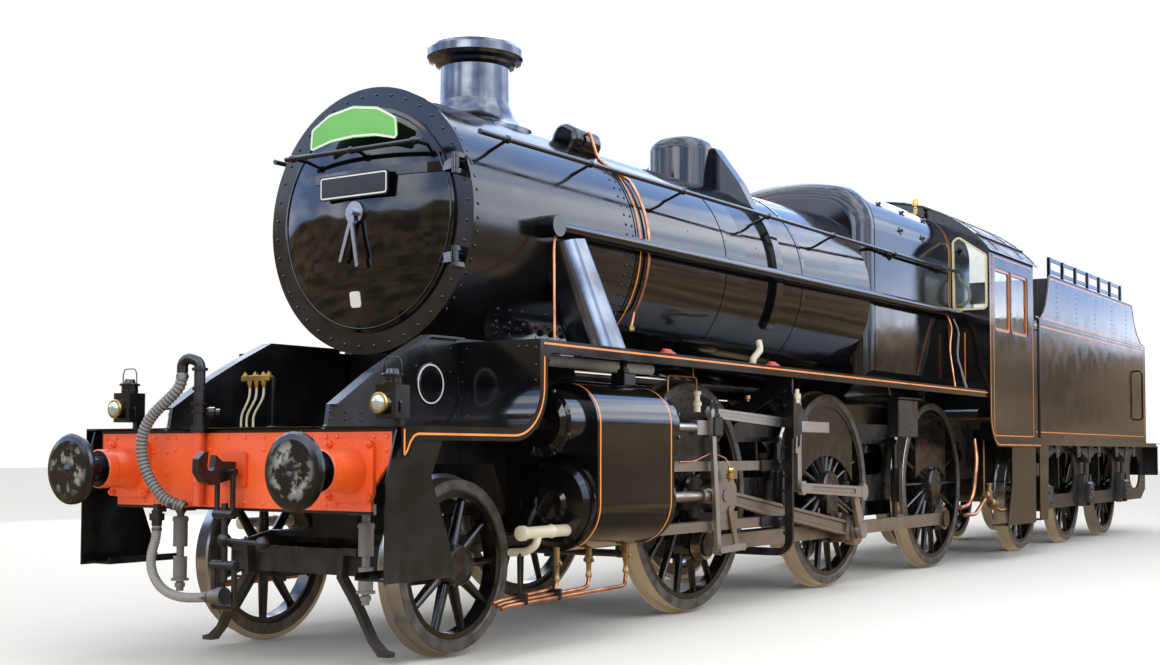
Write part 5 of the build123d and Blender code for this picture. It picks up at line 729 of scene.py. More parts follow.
def bright_and_black(name, clean, dull, rough, black_where):
    """Polished steel that dulls in patches of 70 mm, with gloss black paint where the mask says."""
    material, tree, place = new_material(name)
    cloud = add_node(tree, "TexNoise", {"Scale": 1000 / 70, "Detail": 5.0}, {"Vector": place})
    bright = add_node(tree, "Mix", {"data_type": "RGBA", 6: linear(clean), 7: linear(dull)}, {0: cloud})
    black = black_where(tree, place)
    surface = add_node(tree, "Mix", {"data_type": "RGBA", 7: linear("#08080A")}, {0: black, 6: bright})
    bare = add_node(tree, "Math", {"operation": "SUBTRACT", 0: 1.0}, {1: black})
    polish = add_node(tree, "MapRange", {3: rough, 4: rough + 0.15}, {0: cloud})
    shader = add_node(tree, "BsdfPrincipled", {}, {
        "Base Color": surface, "Metallic": bare, "Roughness": polish})
    add_node(tree, "OutputMaterial", {}, {0: shader})
    return material


finish_node(bright_and_black("polished_door_steel", "#B8BAC0", "#8A8C92", 0.12, rail_black),
            "door_fittings")

# The chimney is an iron casting, flanged to the smokebox. It is black leaded and rubbed until its stack
# shines like dark silver.
finish_node(worn_metal("blackleaded_cast_iron", "#626468", "#404246", 0.13, grain_mm=30, wear_rough=0.1),
            "chimney")

# The outside steam pipes go down to the cylinders in casings of smooth sheet steel, burnished bright
# under a thin dark lacquer. They lean out and mirror what is above them.
finish_node(worn_metal("burnished_lacquered_steel", "#70757D", "#50545B", 0.14, grain_mm=40,
                       wear_rough=0.08), "steam_pipe_casings")

# The front beam is steel plate in vermilion enamel, with a black edge, and rivets in rows where the
# frames and the platform join it. The rivets are painted with the beam.
def beam_edge(tree, place):
    """The rim of the beam's face."""
    share = where(tree, place, 2, "GREATER_THAN", 1288)
    for other in (where(tree, place, 2, "LESS_THAN", 873), where(tree, place, 0, "GREATER_THAN", 1141)):
        share = add_node(tree, "Math", {"operation": "MAXIMUM"}, {0: share, 1: other})
    return share


def rivets(node, lines, radius):
    """Round heads where lines meet a node."""
    return [dome_shape(point, normal, radius) for point, normal in touches(node, lines)]


beam_red = enamel("vermilion_enamel", "#EA5414", "#F0632A", 0.25, ripple=0.5, dust=0.15, grime="#5A2A18",
                  grime_below=1.0, zones=[("#0B0A0A", 0.3, beam_edge)])
finish_node(beam_red, "front_beam")
beam_spots = [(x, z) for x in (70, 215, 355, 500, 570, 680, 760, 1020, 1105) for z in (1262, 902)]
beam_spots += [(x, z) for z in (985, 1060, 1180) for x in (570, 680)]
beam_spots += [(x, 1195) for x in (215, 355, 500, 1105)]
beam_lines = [((side * x, 380, z), (side * x, 500, z)) for x, z in beam_spots for side in (-1, 1)]
put("front_beam_rivets", rivets("front_beam", beam_lines, 15), "engine", beam_red)


# The buffers have vermilion bodies bolted to the beam. Their heads and rams are black, and the faces of
# the heads are smeared with pale dried grease where they have been pushed.
def buffer_front(tree, place):
    """The ram and head."""
    return where(tree, place, 1, "LESS_THAN", 206)


BUFFER_X, BUFFER_HEIGHT = 870.0, 1085.0
GREASE_RING = 92.0


def greased(tree, place):
    """Ragged rings about the middle of the buffer's face, in smears of 110 mm."""
    parts = add_node(tree, "SeparateXYZ", {}, {0: place}).outputs
    across = add_node(tree, "Math", {"operation": "ABSOLUTE"}, {0: parts["X"]})
    flat = add_node(tree, "CombineXYZ", {}, {0: across, 2: parts["Z"]})
    axis = add_node(tree, "CombineXYZ", {0: BUFFER_X / 1000, 2: BUFFER_HEIGHT / 1000})
    reach = add_node(tree, "VectorMath", {"operation": "DISTANCE"}, {0: flat, 1: axis})
    ring = add_node(tree, "Math", {"operation": "SUBTRACT", 1: GREASE_RING / 1000}, {0: reach})
    off_ring = add_node(tree, "Math", {"operation": "ABSOLUTE"}, {0: ring})
    smear = add_node(tree, "TexNoise", {"Scale": 1000 / 110, "Detail": 8.0, "Roughness": 0.65},
                     {"Vector": place})
    near = add_node(tree, "MapRange", {1: 0.02, 2: 0.075, 3: 1.0, 4: 0.0}, {0: off_ring})
    ragged = add_node(tree, "MapRange", {1: 0.5, 2: 0.58}, {0: smear})
    face = where(tree, place, 1, "LESS_THAN", 30)
    smeared = add_node(tree, "Math", {"operation": "MULTIPLY"}, {0: near, 1: ragged})
    return add_node(tree, "Math", {"operation": "MULTIPLY"}, {0: smeared, 1: face})


finish_node(enamel("buffer_enamel", "#EA5414", "#F0632A", 0.22, dust=0.15,
                   zones=[("#060606", 0.2, buffer_front), ("#86847C", 0.6, greased)]), "front_buffers")
bolt_lines = []
for side in (-1, 1):
    for a, b in ((-1, -1), (-1, 1), (1, -1), (1, 1)):
        x, z = side * BUFFER_X + 140 * a, BUFFER_HEIGHT + 140 * b
        bolt_lines.append(((x, 300, z), (x, 460, z)))
put("buffer_bolts", bolts("front_buffers", bolt_lines, 40), "engine", beam_red)


# The draw hook and screw coupling are forged steel painted black. The plate behind the hook is painted
# with the beam. The standpipe beside them is red as far up as the beam and black above.
frame_paint = enamel("frame_black_enamel", "#0B0A0A", "#131110", 0.2, ripple=0.4, dust=0.2,
                     grime="#3B332A", grime_below=1.5)


def hook_plate(tree, place):
    """The square plate behind the hook."""
    return where(tree, place, 1, "GREATER_THAN", 426)


finish_node(enamel("coupling_black", "#0A0909", "#15120F", 0.25, dust=0.2, grime="#3B332A",
                   grime_below=1.4, zones=[("#E25018", 0.3, hook_plate)]), "front_coupling")


def standpipe_red(tree, place):
    """The upright pipe in front of the beam: near the middle of the engine and level with the beam."""
    share = where(tree, place, 0, "LESS_THAN", 320)
    for other in (where(tree, place, 2, "GREATER_THAN", 872), where(tree, place, 2, "LESS_THAN", 1290)):
        share = add_node(tree, "Math", {"operation": "MULTIPLY"}, {0: share, 1: other})
    return share


finish_node(enamel("pipe_black", "#0A0909", "#151311", 0.25, dust=0.2, grime="#3B332A", grime_below=1.4,
                   zones=[("#E25018", 0.3, standpipe_red)]), "train_pipes")
STANDPIPE_X, STANDPIPE_S = -253.0, 405.0
ring_shapes = []
for z, reach in ((1400, 42), (1446, 46), (1530, 40), (1640, 44)):
    ring_shapes.append(turned_shape(at(STANDPIPE_X, STANDPIPE_S, z), (0, 0, 1), [
        (0, 30), (0, reach), (16, reach), (16, 30)]))
ring_shapes.append(turned_shape(at(STANDPIPE_X + 30, STANDPIPE_S + 30, 1405), (1, 0.9, 0),
                                [(0, 24), (12, 30), (40, 30), (48, 20), (70, 20), (72, 8)], 8))
put("standpipe_joints", ring_shapes, "engine", frame_paint)


# The lamps are japanned sheet steel. Each has a big bull's eye in a brass rim, a stepped chimney with
# vent holes, a folded wire handle and a side catch.
lamp_black = enamel("japanned_lamp_black", "#070707", "#121210", 0.12, ripple=0.3, dust=0.1)
finish_node(lamp_black, "lamps")
LAMP_X, LAMP_S, LAMP_EYE, LAMP_FOOT, LAMP_HEIGHT = 1045.0, 560.0, 1437.0, 1319.0, 300.0
# Its lens is pressed glass, IOR 1.52, silvered behind: a pale green bull's eye with bright highlights.
lens_glass, tree, place = new_material("pressed_glass_lens")
cloud = add_node(tree, "TexNoise", {"Scale": 1000 / 30, "Detail": 3.0}, {"Vector": place})
tint = add_node(tree, "Mix", {"data_type": "RGBA", 6: linear("#8D9A8C"), 7: linear("#C4CBB8")},
                {0: cloud})
shader = add_node(tree, "BsdfPrincipled", {"IOR": 1.52, "Roughness": 0.04, "Coat Weight": 1.0,
                                           "Coat Roughness": 0.03, "Metallic": 0.35},
                  {"Base Color": tint})
add_node(tree, "OutputMaterial", {}, {0: shader})
lens_shapes, rim_shapes, lamp_shapes = [], [], []
for side in (-1, 1):
    eye = at(side * LAMP_X, LAMP_S - 106, LAMP_EYE)
    lens_shapes.append(turned_shape(eye, (0, -1, 0),
                                    [(0, 46), (6, 45), (14, 40), (21, 30), (25, 16), (26, 4)]))
    rim_shapes.append(turned_shape(eye, (0, -1, 0), [(-6, 57), (2, 58), (8, 55), (9, 48), (3, 45)]))
    top = at(side * LAMP_X, LAMP_S, LAMP_FOOT + LAMP_HEIGHT)
    lamp_shapes.append(turned_shape(top + Vector((0, 0, -0.034)), (0, 0, 1),
                                    [(0, 42), (0, 56), (5, 58), (9, 56), (12, 36), (34, 30), (36, 12)]))
    for n in range(12):
        turn = 2 * math.pi * n / 12
        out = Vector((math.cos(turn), math.sin(turn), 0))
        lamp_shapes.append(turned_shape(top + out * 0.047 + Vector((0, 0, -0.07)), out,
                                        [(0, 6), (2, 5), (3, 2)], 8))
    handle = [(-62, -40), (-62, 30), (-46, 62), (46, 62), (62, 30), (62, -40)]
    wire = [top + Vector((a / 1000, 0, b / 1000)) for a, b in handle]
    lamp_shapes.append(tube_shape(rounded_corners(wire, 26), 0.0035, 8))
    catch = at(side * LAMP_X + 72, LAMP_S - 20, 1440)
    lamp_shapes.append(turned_shape(catch, (1, 0, 0), [(0, 10), (5, 10), (7, 6)], 8))
    lamp_shapes.append(turned_shape(catch + Vector((0.004, 0, -0.05)), (0, 0, 1),
                                    [(0, 4), (0, 5), (46, 5), (48, 3)], 8))
put("lamp_lenses", lens_shapes, "engine", lens_glass)
put("lamp_rims", rim_shapes, "engine", brass)
put("lamp_tops_and_handles", lamp_shapes, "engine", lamp_black)

# A small brass manifold on a bracket between the frames shares oil or air among three copper pipes that
# are painted cream, and drop through the platform.
def box_shape(x0, x1, s0, s1, z0, z1, bevel=2):
    """A block between maker's places, with its edges broken."""
    cut = min(bevel, (x1 - x0) / 3, (s1 - s0) / 3, (z1 - z0) / 3)
    rings = [(z0, cut), (z0 + cut, 0.0), (z1 - cut, 0.0), (z1, cut)]
    points = []
    for z, inset in rings:
        a, b, c, d = x0 + inset, x1 - inset, s0 + inset, s1 - inset
        corners = [(a + cut, c), (b - cut, c), (b, c + cut), (b, d - cut), (b - cut, d), (a + cut, d),
                   (a, d - cut), (a, c + cut)]
        points += [at(x, s, z) for x, s in corners]
    return points, ringed_faces(4, 8)


MANIFOLD_Z, MANIFOLD_S = 1600.0, 620.0
manifold_shapes = [box_shape(-138, 87, MANIFOLD_S - 16, MANIFOLD_S + 16, MANIFOLD_Z - 16,
                             MANIFOLD_Z + 16)]
for x in (-120, -40, 28, 70):
    manifold_shapes.append(turned_shape(at(x, MANIFOLD_S, MANIFOLD_Z + 15), (0, 0, 1),
                                        [(0, 14), (10, 14), (12, 8), (22, 8)], 6))
for x in (-80, -26, 32):
    manifold_shapes.append(turned_shape(at(x, MANIFOLD_S, MANIFOLD_Z - 15), (0, 0, -1),
                                        [(0, 16), (18, 16), (30, 10), (40, 10)], 6))
put("front_manifold", manifold_shapes, "engine", brass)
cream_paint = enamel("cream_pipe_paint", "#D8CFB4", "#B9AE92", 0.4, dust=0.2)
PLATFORM_TOP = 1319.0
cream_shapes = []
for x, foot in ((-80, -150), (-26, -105), (32, -52)):
    cream_shapes.append(pipe_shape([(x, MANIFOLD_S, MANIFOLD_Z - 50),
                                    (x - 4, MANIFOLD_S, MANIFOLD_Z - 110),
                                    (foot, MANIFOLD_S, PLATFORM_TOP + 70),
                                    (foot, MANIFOLD_S, PLATFORM_TOP - 4)], 6.5))
put("manifold_pipes", cream_shapes, "engine", cream_paint)
bracket_shapes = [box_shape(100, 108, MANIFOLD_S - 8, MANIFOLD_S + 14, PLATFORM_TOP - 2, MANIFOLD_Z + 8),
                  box_shape(60, 106, MANIFOLD_S - 8, MANIFOLD_S + 14, MANIFOLD_Z - 8, MANIFOLD_Z + 8),
                  box_shape(86, 150, MANIFOLD_S - 30, MANIFOLD_S + 40, PLATFORM_TOP - 1,
                            PLATFORM_TOP + 8)]
put("manifold_bracket", bracket_shapes, "engine", frame_paint)

# The running plates are gloss black sheet, flat in the middle and turned down at the edge as a valance.
# An orange line follows the valance from the beam, under the curved riser and along to the cab.
# Countersunk screws hold the curved sheet, and a round works plate, left blank, is screwed to each frame
# ahead of it.
def side_line(face, places, width, radius=40, closed=False):
    """A line painted on an upright side, through stations and heights."""
    return flat_line([(face, s, z) for s, z in places], (1, 0, 0), width, radius, closed)


plate_enamel = enamel("gloss_black_plates", "#08080A", "#0E0E10", 0.09, ripple=0.7, dust=0.1,
                      grime="#3A332A", grime_below=0.8)
finish_node(plate_enamel, "running_plates")


def spring_posts(tree, place):
    """The two posts below the front beam, which stand nearer the middle than any step."""
    return where(tree, place, 0, "LESS_THAN", 800)


finish_node(enamel("step_black", "#08080A", "#121110", 0.14, ripple=0.7, dust=0.2, grime="#3A332A",
                   grime_below=0.9, zones=[("#77736B", 0.5, spring_posts)]), "steps")
VALANCE_FACE, PLATE_TOP = 1245.3, 1841.0
RISER_S, RISER_Z, LINE_RADIUS = 1360.0, 1564.0, 287.0
low_line = [(427, 1300), (427, 1168), (446, 1186), (474, 1238), (500, 1266), (532, 1277), (1300, 1277)]
for n in range(13):
    turn = math.radians(7.5 * n)
    low_line.append((RISER_S + LINE_RADIUS * math.sin(turn), RISER_Z - LINE_RADIUS * math.cos(turn)))
low_line += [(1647, 1740)]
valance_lines = [side_line(VALANCE_FACE, low_line, 12, 8),
                 side_line(VALANCE_FACE, [(1640, PLATE_TOP - 24), (9640, PLATE_TOP - 24)], 12)]
put("valance_lines", both(valance_lines), "engine", lining_orange)
riser_screws = [((x, 1300, z), (x, 1900, z)) for x, z in ((1215, 1790), (1215, 1690), (1212, 1600),
                                                          (1150, 1800), (1090, 1800), (700, 1800),
                                                          (665, 1720), (665, 1600), (665, 1500))]
riser_screws += [((x, RISER_S + 60, 1700), (x, RISER_S + 200, 1340)) for x in (665, 760, 1215)]
put("riser_screws", both(rivets("running_plates", riser_screws, 9)), "engine", plate_enamel)
works_face = touch("engine_frames", (1100, 1345, 1581), (300, 1345, 1581))[0]
WORKS_RIM_SIDES = 48
works_plates, works_rims = [], []
for side in (-1, 1):
    centre = Vector((side * works_face.x, works_face.y, works_face.z))
    out = (side, 0, 0)
    works_plates.append(turned_shape(centre, out, [(-1, 125), (5, 125), (7, 122), (7, 60), (7, 4)],
                                     WORKS_RIM_SIDES))
    works_rims.append(turned_shape(centre, out,
                                   [(6.5, 108), (8.2, 109), (8.2, 117), (6.5, 118), (6.5, 112)],
                                   WORKS_RIM_SIDES))
put("works_plates", works_plates, "engine", plate_enamel)
put("works_plate_rims", works_rims, "engine", white_enamel)

# The frames are rolled plate in black paint, with lines of rivets where the stretchers and the saddle
# join them. Low down everything is splashed brown with oil and dirt.
def side_rows(rows, start=1500, end=1000):
    """Lines from the left straight inwards, from rows of stations and heights."""
    return [((start, s, z), (end, s, z)) for stations, heights in rows for s in stations for z in heights]


finish_node(frame_paint, "engine_frames", "frame_stretchers", "brake_gear", "motion_brackets",
            "tender_frames", "rear_buffers")
FRAME_ROWS = [((520, 640, 760), (1360, 1400)), (range(1150, 1900, 140), (1850,)), ((980,), (1420, 1500)),
              ((1290,), (1800,)), ((1530,), (1800, 1660, 1500)), ((1220,), (1680,)), ((1050,), (1590,))]
put("frame_rivets", both(rivets("engine_frames", side_rows(FRAME_ROWS, 1100, 300), 10)), "engine",
    frame_paint)
bracket_lines = [((x, 4800, z), (x, 5200, z)) for z in range(560, 1780, 110) for x in (1150, 1000)]
put("motion_bracket_bolts", both(bolts("motion_brackets", bracket_lines, 26)), "engine", frame_paint)

# Between the frames, under the boiler, the brake pipe runs back in black paint, and a steam pipe on the
# left is wound in grey lagging cloth.
LAGGING_RADIUS, LAP = 0.036, 0.0035
wound = even_points([at(760, 2330, 1771), at(760, 3620, 1774)], 0.012)
wound_radii = [LAGGING_RADIUS + LAP * (n % 5) / 4 for n in range(len(wound))]
put("lagged_steam_pipe", [tube_shape(wound, wound_radii, 16)], "engine",
    rubber("grey_lagging_cloth", "#7D7A73", "#A9A59B", 0.85), 70)
brake_pipe = [pipe_shape([(-300, 2980, 1715), (-300, 7250, 1715)], 42),
              pipe_shape([(250, 2980, 1730), (250, 7250, 1730)], 30)]
put("pipes_between_frames", brake_pipe, "engine", frame_paint)

# The outside cylinders wear smooth cladding with an orange hoop at each end. Their covers are turned
# castings painted with them, held by rings of studs and nuts.
cylinder_enamel = enamel("cylinder_black", "#08080A", "#0F0E0E", 0.07, ripple=1.4, dust=0.05)
finish_node(cylinder_enamel, "cylinders")
CYLINDER_MIDDLE = (1060.0, 1120.0)
hoops = [line_shape(around("cylinders", s, 8, 200, 3, *CYLINDER_MIDDLE), 13) for s in (2112.0, 2952.0)]
put("cylinder_hoops", both(hoops), "engine", lining_orange)
cover_nuts = []
for x, z, reach, count in ((1040, 870, 262, 12), (1080, 1360, 195, 8)):
    for near, far in ((1500, 2200), (3500, 2900)):
        for point, normal in touches("cylinders", ring_lines(x, z, reach, count, near, far)):
            if abs(normal.y) > 0.9:
                cover_nuts += bolt_shape(point, normal, 32)
put("cylinder_cover_nuts", both(cover_nuts), "engine", cylinder_enamel)
CLADDING_ROWS = [((2150, 2900), (800, 960, 1120, 1280)), ((2330, 2530, 2730), (1340, 905))]
cylinder_screws = [dome_shape(point - normal * 0.0035, normal, 7)
                   for point, normal in touches("cylinders", side_rows(CLADDING_ROWS, 1600, 900))]
put("cylinder_screws", both(cylinder_screws), "engine", cylinder_enamel)

# Below each cylinder three drain cocks send water and steam forward through copper pipes that run side by
# side to the foot of the steps. A relief pipe in cream lagging lies ahead of the cover.
COCK_X = 1090.0
drain_shapes, cock_shapes = [], []
for n, s in enumerate((1996.0, 2344.0, 2776.0)):
    cock_shapes.append(turned_shape(at(COCK_X, s, 610), (0, 0, -1),
                                    [(0, 20), (70, 20), (74, 27), (110, 27), (118, 18), (150, 16),
                                     (176, 16), (184, 20), (206, 20)], 8))
    cock_shapes.append(turned_shape(at(COCK_X - 34, s, 512), (1, 0, 0), [(0, 12), (68, 12), (70, 8)], 8))
    run_x, drop = 1110.0 + 30 * n, 14 * n
    drain_shapes.append(pipe_shape([(COCK_X, s, 405), (COCK_X, s - 10, 368 - drop),
                                    (run_x, s - 150, 362 - drop), (run_x, 1400, 340 - drop),
                                    (run_x, 1340, 330 - drop)], 13, 50))
lagged_shapes = [turned_shape(at(1150, 2066, 715), (0, -1, 0), [
                                  (0, 40), (14, 44), (20, 36), (200, 36), (214, 42), (226, 36), (470, 35),
                                  (486, 44), (520, 44), (526, 30)]),
                 pipe_shape([(1150, 1720, 700), (1150, 1700, 640), (1090, 1690, 600), (960, 1700, 590)],
                            24, 60)]
oily_bronze = worn_metal("oily_cast_bronze", "#A88A58", "#5E4C34", 0.35)
put("drain_cocks", both(cock_shapes), "engine", oily_bronze)
put("drain_pipes_copper", both(drain_shapes), "engine", copper)
put("relief_pipes_lagged", both(lagged_shapes), "engine", cream_paint)
clip_shapes = []
for s in (1560.0, 1900.0):
    clip_shapes.append(box_shape(1092, 1190, s - 12, s + 12, 306, 372))
    clip_shapes.append(box_shape(1130, 1142, s - 8, s + 8, 360, 600))
put("drain_pipe_clips", both(clip_shapes), "engine", frame_paint)


# The rods are forged steel, bright on their faces and machined along their length. Oil dries brown in the
# flutes and round the bosses.
def machined_steel(name, clean, dull, oil, rough, oily=0.8):
    """Bare steel that dulls in patches of 260 mm, with old oil in its hollows. Its tool marks along the
    engine are finer than 1 mm and are drawn at 5 mm."""
    material, tree, place = new_material(name)
    cloud = add_node(tree, "TexNoise", {"Scale": 1000 / 260, "Detail": 6.0}, {"Vector": place})
    spread = add_node(tree, "MapRange", {1: 0.38, 2: 0.64}, {0: cloud})
    bright = add_node(tree, "Mix", {"data_type": "RGBA", 6: linear(clean), 7: linear(dull)}, {0: spread})
    hollow = add_node(tree, "AmbientOcclusion", {"samples": 8, "only_local": True, "Distance": 0.06})
    deep = add_node(tree, "MapRange", {1: 0.62, 2: 0.95, 3: oily, 4: 0.0}, {0: hollow.outputs["AO"]})
    stained = add_node(tree, "Mix", {"data_type": "RGBA", 7: linear(oil)}, {0: deep, 6: bright})
    along = add_node(tree, "Mapping", {"Scale": (1, 0.04, 1)}, {"Vector": place})
    marks = add_node(tree, "TexNoise", {"Scale": 1000 / 5, "Detail": 2.0}, {0: along})
    cut = add_node(tree, "Bump", {"Strength": 0.3, "Distance": 0.0003}, {"Height": marks})
    matt = add_node(tree, "MapRange", {3: rough, 4: rough + 0.2}, {0: spread})
    bare = add_node(tree, "MapRange", {3: 1.0, 4: 0.5}, {0: deep})
    shader = add_node(tree, "BsdfPrincipled", {}, {
        "Base Color": stained, "Metallic": bare, "Roughness": matt, "Normal": cut})
    add_node(tree, "OutputMaterial", {}, {0: shader})
    return material


finish_node(machined_steel("oiled_rod_steel", "#A59B8D", "#8A7F71", "#4A3826", 0.28), "connecting_rods",
            "left_coupling_rod", "right_coupling_rod", "crossheads")
finish_node(machined_steel("slide_bar_steel", "#A09688", "#82786B", "#463A2C", 0.3), "slide_bars")
gear_steel = machined_steel("valve_gear_steel", "#B7B2A8", "#968F84", "#4E4232", 0.3, 0.65)
finish_node(gear_steel, "valve_gear")

# The wheels are steel castings in black paint, with tyres shrunk on. The tyres are bare steel: dull and
# dusty on their faces and polished on the tread where they roll. Oil and brake dust darken the spokes
# near the hub.
def wheel_paint(name, station, height, bare_from, tread):
    """Black enamel that goes brown in patches of 90 mm, most near the hub, and bare steel outside one
    distance from the line of the axle. Its grit is finer than 2 mm and is drawn at 16 mm."""
    material, tree, place = new_material(name)
    parts = add_node(tree, "SeparateXYZ", {}, {0: place})
    flat = add_node(tree, "CombineXYZ", {}, {1: parts.outputs["Y"], 2: parts.outputs["Z"]})
    axle = at(0, station, height)
    reach = add_node(tree, "VectorMath", {"operation": "DISTANCE", 1: tuple(axle)}, {0: flat})
    cloud = add_node(tree, "TexNoise", {"Scale": 1000 / 90, "Detail": 6.0}, {"Vector": place})
    patches = add_node(tree, "MapRange", {1: 0.38, 2: 0.66}, {0: cloud})
    bare = add_node(tree, "Math", {"operation": "GREATER_THAN", 1: bare_from / 1000}, {0: reach})
    polished = add_node(tree, "Math", {"operation": "GREATER_THAN", 1: tread / 1000 - 0.006},
                        {0: reach})
    hub_dirt = add_node(tree, "MapRange", {1: 0.12, 2: bare_from / 1500, 3: 0.85, 4: 0.25}, {0: reach})
    dirt = add_node(tree, "Math", {"operation": "MULTIPLY"}, {0: hub_dirt, 1: patches})
    painted = add_node(tree, "Mix", {"data_type": "RGBA", 6: linear("#0A0A0A"), 7: linear("#3A332B")},
                       {0: dirt})
    dusty = add_node(tree, "Mix", {"data_type": "RGBA", 6: linear("#6B655D"), 7: linear("#4A443D")},
                     {0: patches})
    steel = add_node(tree, "Mix", {"data_type": "RGBA", 7: linear("#A9A69F")}, {0: polished, 6: dusty})
    surface = add_node(tree, "Mix", {"data_type": "RGBA"}, {0: bare, 6: painted, 7: steel})
    gloss = add_node(tree, "MapRange", {3: 0.16, 4: 0.45}, {0: dirt})
    tyre_matt = add_node(tree, "MapRange", {3: 0.55, 4: 0.25}, {0: polished})
    matt = add_node(tree, "Mix", {"data_type": "FLOAT"}, {0: bare, 2: gloss, 3: tyre_matt})
    metal = add_node(tree, "MapRange", {3: 0.0, 4: 0.85}, {0: bare})
    grit = add_node(tree, "TexNoise", {"Scale": 1000 / 16, "Detail": 4.0}, {"Vector": place})
    bump = add_node(tree, "Bump", {"Strength": 0.5, "Distance": 0.0003}, {"Height": grit})
    shader = add_node(tree, "BsdfPrincipled", {}, {
        "Base Color": surface, "Roughness": matt, "Metallic": metal, "Normal": bump})
    add_node(tree, "OutputMaterial", {}, {0: shader})
    return material


TYRE_DEPTH = 76.0
WHEELS = {
    # node and body: station, axle height, tread radius
    "pony_wheels": (1378.0, 529.5, 501.5),
    "leading_coupled_wheels": (4121.0, 866.0, 838.0),
    "driving_wheels": (6559.0, 866.0, 838.0),
    "trailing_coupled_wheels": (9150.0, 866.0, 838.0),
    "tender_wheels_1": (12170.0, 675.5, 647.5),
    "tender_wheels_2": (14151.0, 675.5, 647.5),
    "tender_wheels_3": (16132.0, 675.5, 647.5),
}
wheel_finish = {}
for name, (station, height, tread) in WHEELS.items():
    wheel_finish[name] = wheel_paint(name + "_paint", station, height, tread - TYRE_DEPTH, tread)
    finish_node(wheel_finish[name], name)


# Each crescent balance weight is two plates riveted through, with lead between them. Each hub has a
# turned ring and the end of its axle has a centre mark. All are painted with the wheel.
def wheel_spots(node, side, polar):
    """Spots on the outer face of a wheel, from distances in millimetres and degrees from straight up."""
    station, height, tread = WHEELS[node]
    lines = []
    for reach, degrees in polar:
        turn = math.radians(degrees)
        s, z = station - reach * math.sin(turn), height + reach * math.cos(turn)
        lines.append(((side * 1300, s, z), (side * 600, s, z)))
    return touches(node, lines)


WEIGHTS = [
    # node, half the angle of the left weight, distances of the outer and inner rows, face at least this
    # far out
    ("driving_wheels", 50, 715, 560),
    ("leading_coupled_wheels", 30, 720, 640),
    ("trailing_coupled_wheels", 30, 720, 640),
]
WEIGHT_FACE = 0.770
RIGHT_LEADS = 90
for name, half, outer, inner in WEIGHTS:
    polar = [(outer, a) for a in range(-half, half + 1, 10)]
    polar += [(inner, a) for a in range(-half // 2, half // 2 + 1, 10)]
    spots = wheel_spots(name, 1, polar)
    spots += wheel_spots(name, -1, [(reach, a - RIGHT_LEADS) for reach, a in polar])
    shapes = [dome_shape(point, normal, 13) for point, normal in spots if abs(point.x) > WEIGHT_FACE]
    put(name + "_rivets", shapes, name, wheel_finish[name])
for name, (station, height, tread) in WHEELS.items():
    shapes = []
    for side in (-1, 1):
        hub = touch(name, (side * 1300, station - 60, height + 60),
                    (side * 600, station - 60, height + 60))
        if hub and abs(hub[1].x) > 0.9:
            centre = Vector((hub[0].x, *at(0, station, height).yz))
            out = (side, 0, 0)
            if name == "pony_wheels":
                shapes.append(turned_shape(centre, out, [
                    (-1, 112), (3, 112), (5, 108), (5, 96), (2, 94), (-1, 94)], 40))
            for n in range(6):
                turn = 2 * math.pi * n / 6
                spot = centre + Vector((0, math.cos(turn), math.sin(turn))) * 0.1245
                shapes.append(turned_shape(spot, out, [(-1, 11), (3, 11), (4, 8)], 6))
    if shapes:
        put(name + "_hub_rings", shapes, name, wheel_finish[name])

# The springs and axleboxes carry years of oil and dust over black paint. Gaps between the leaves are
# filled with brown dirt, and the box covers have bolts at their corners.
dusty_black = enamel("oily_dusty_black", "#15130F", "#2A241D", 0.35, dust=0.5, grime="#5A4E40",
                     grime_below=2.2)
finish_node(dusty_black, "axleboxes_and_springs", "tender_axleboxes")
finish_node(enamel("pony_truck_black", "#12100E", "#1E1A16", 0.35, dust=0.4, grime="#4E4438",
                   grime_below=1.6), "pony_truck")
box_shapes, hanger_shapes = [], []
for axle in (12170.0, 14151.0, 16132.0):
    corners = [((axle + a,), (675 + b,)) for a, b in ((-88, -88), (88, -88), (-88, 88), (88, 88))]
    box_shapes += bolts("tender_axleboxes", side_rows(corners, 1400), 26)
    cover = touch("tender_axleboxes", (1400, axle, 690), (1000, axle, 690))[0]
    box_shapes.append(turned_shape(cover, (1, 0, 0), [(-1, 74), (6, 74), (9, 70), (9, 40), (6, 38)], 28))
    box_shapes.append(turned_shape(cover + Vector((0, 0, 0.02)), (1, 0, 0), [(5, 16), (22, 16), (24, 12)],
                                   6))
    for end in (-505, 505):
        foot = [(axle + end + a, z) for a, z in ((-80, 1290), (80, 1290), (26, 1130), (-26, 1130))]
        hanger_shapes.append(plate_shape(*[[at(x, s, z) for s, z in foot] for x in (1112, 1128)]))
        hanger_shapes.append(turned_shape(at(1128, axle + end, 1165), (1, 0, 0),
                                          [(-1, 24), (12, 24), (15, 18)], 6))
put("tender_axlebox_covers", both(box_shapes), "tender", dusty_black)
grey_dust = enamel("dusty_grey_hangers", "#6E6A63", "#4B463F", 0.55, dust=0.4, grime="#5A4E40",
                   grime_below=1.6)
put("tender_spring_hangers", both(hanger_shapes), "tender", grey_dust)

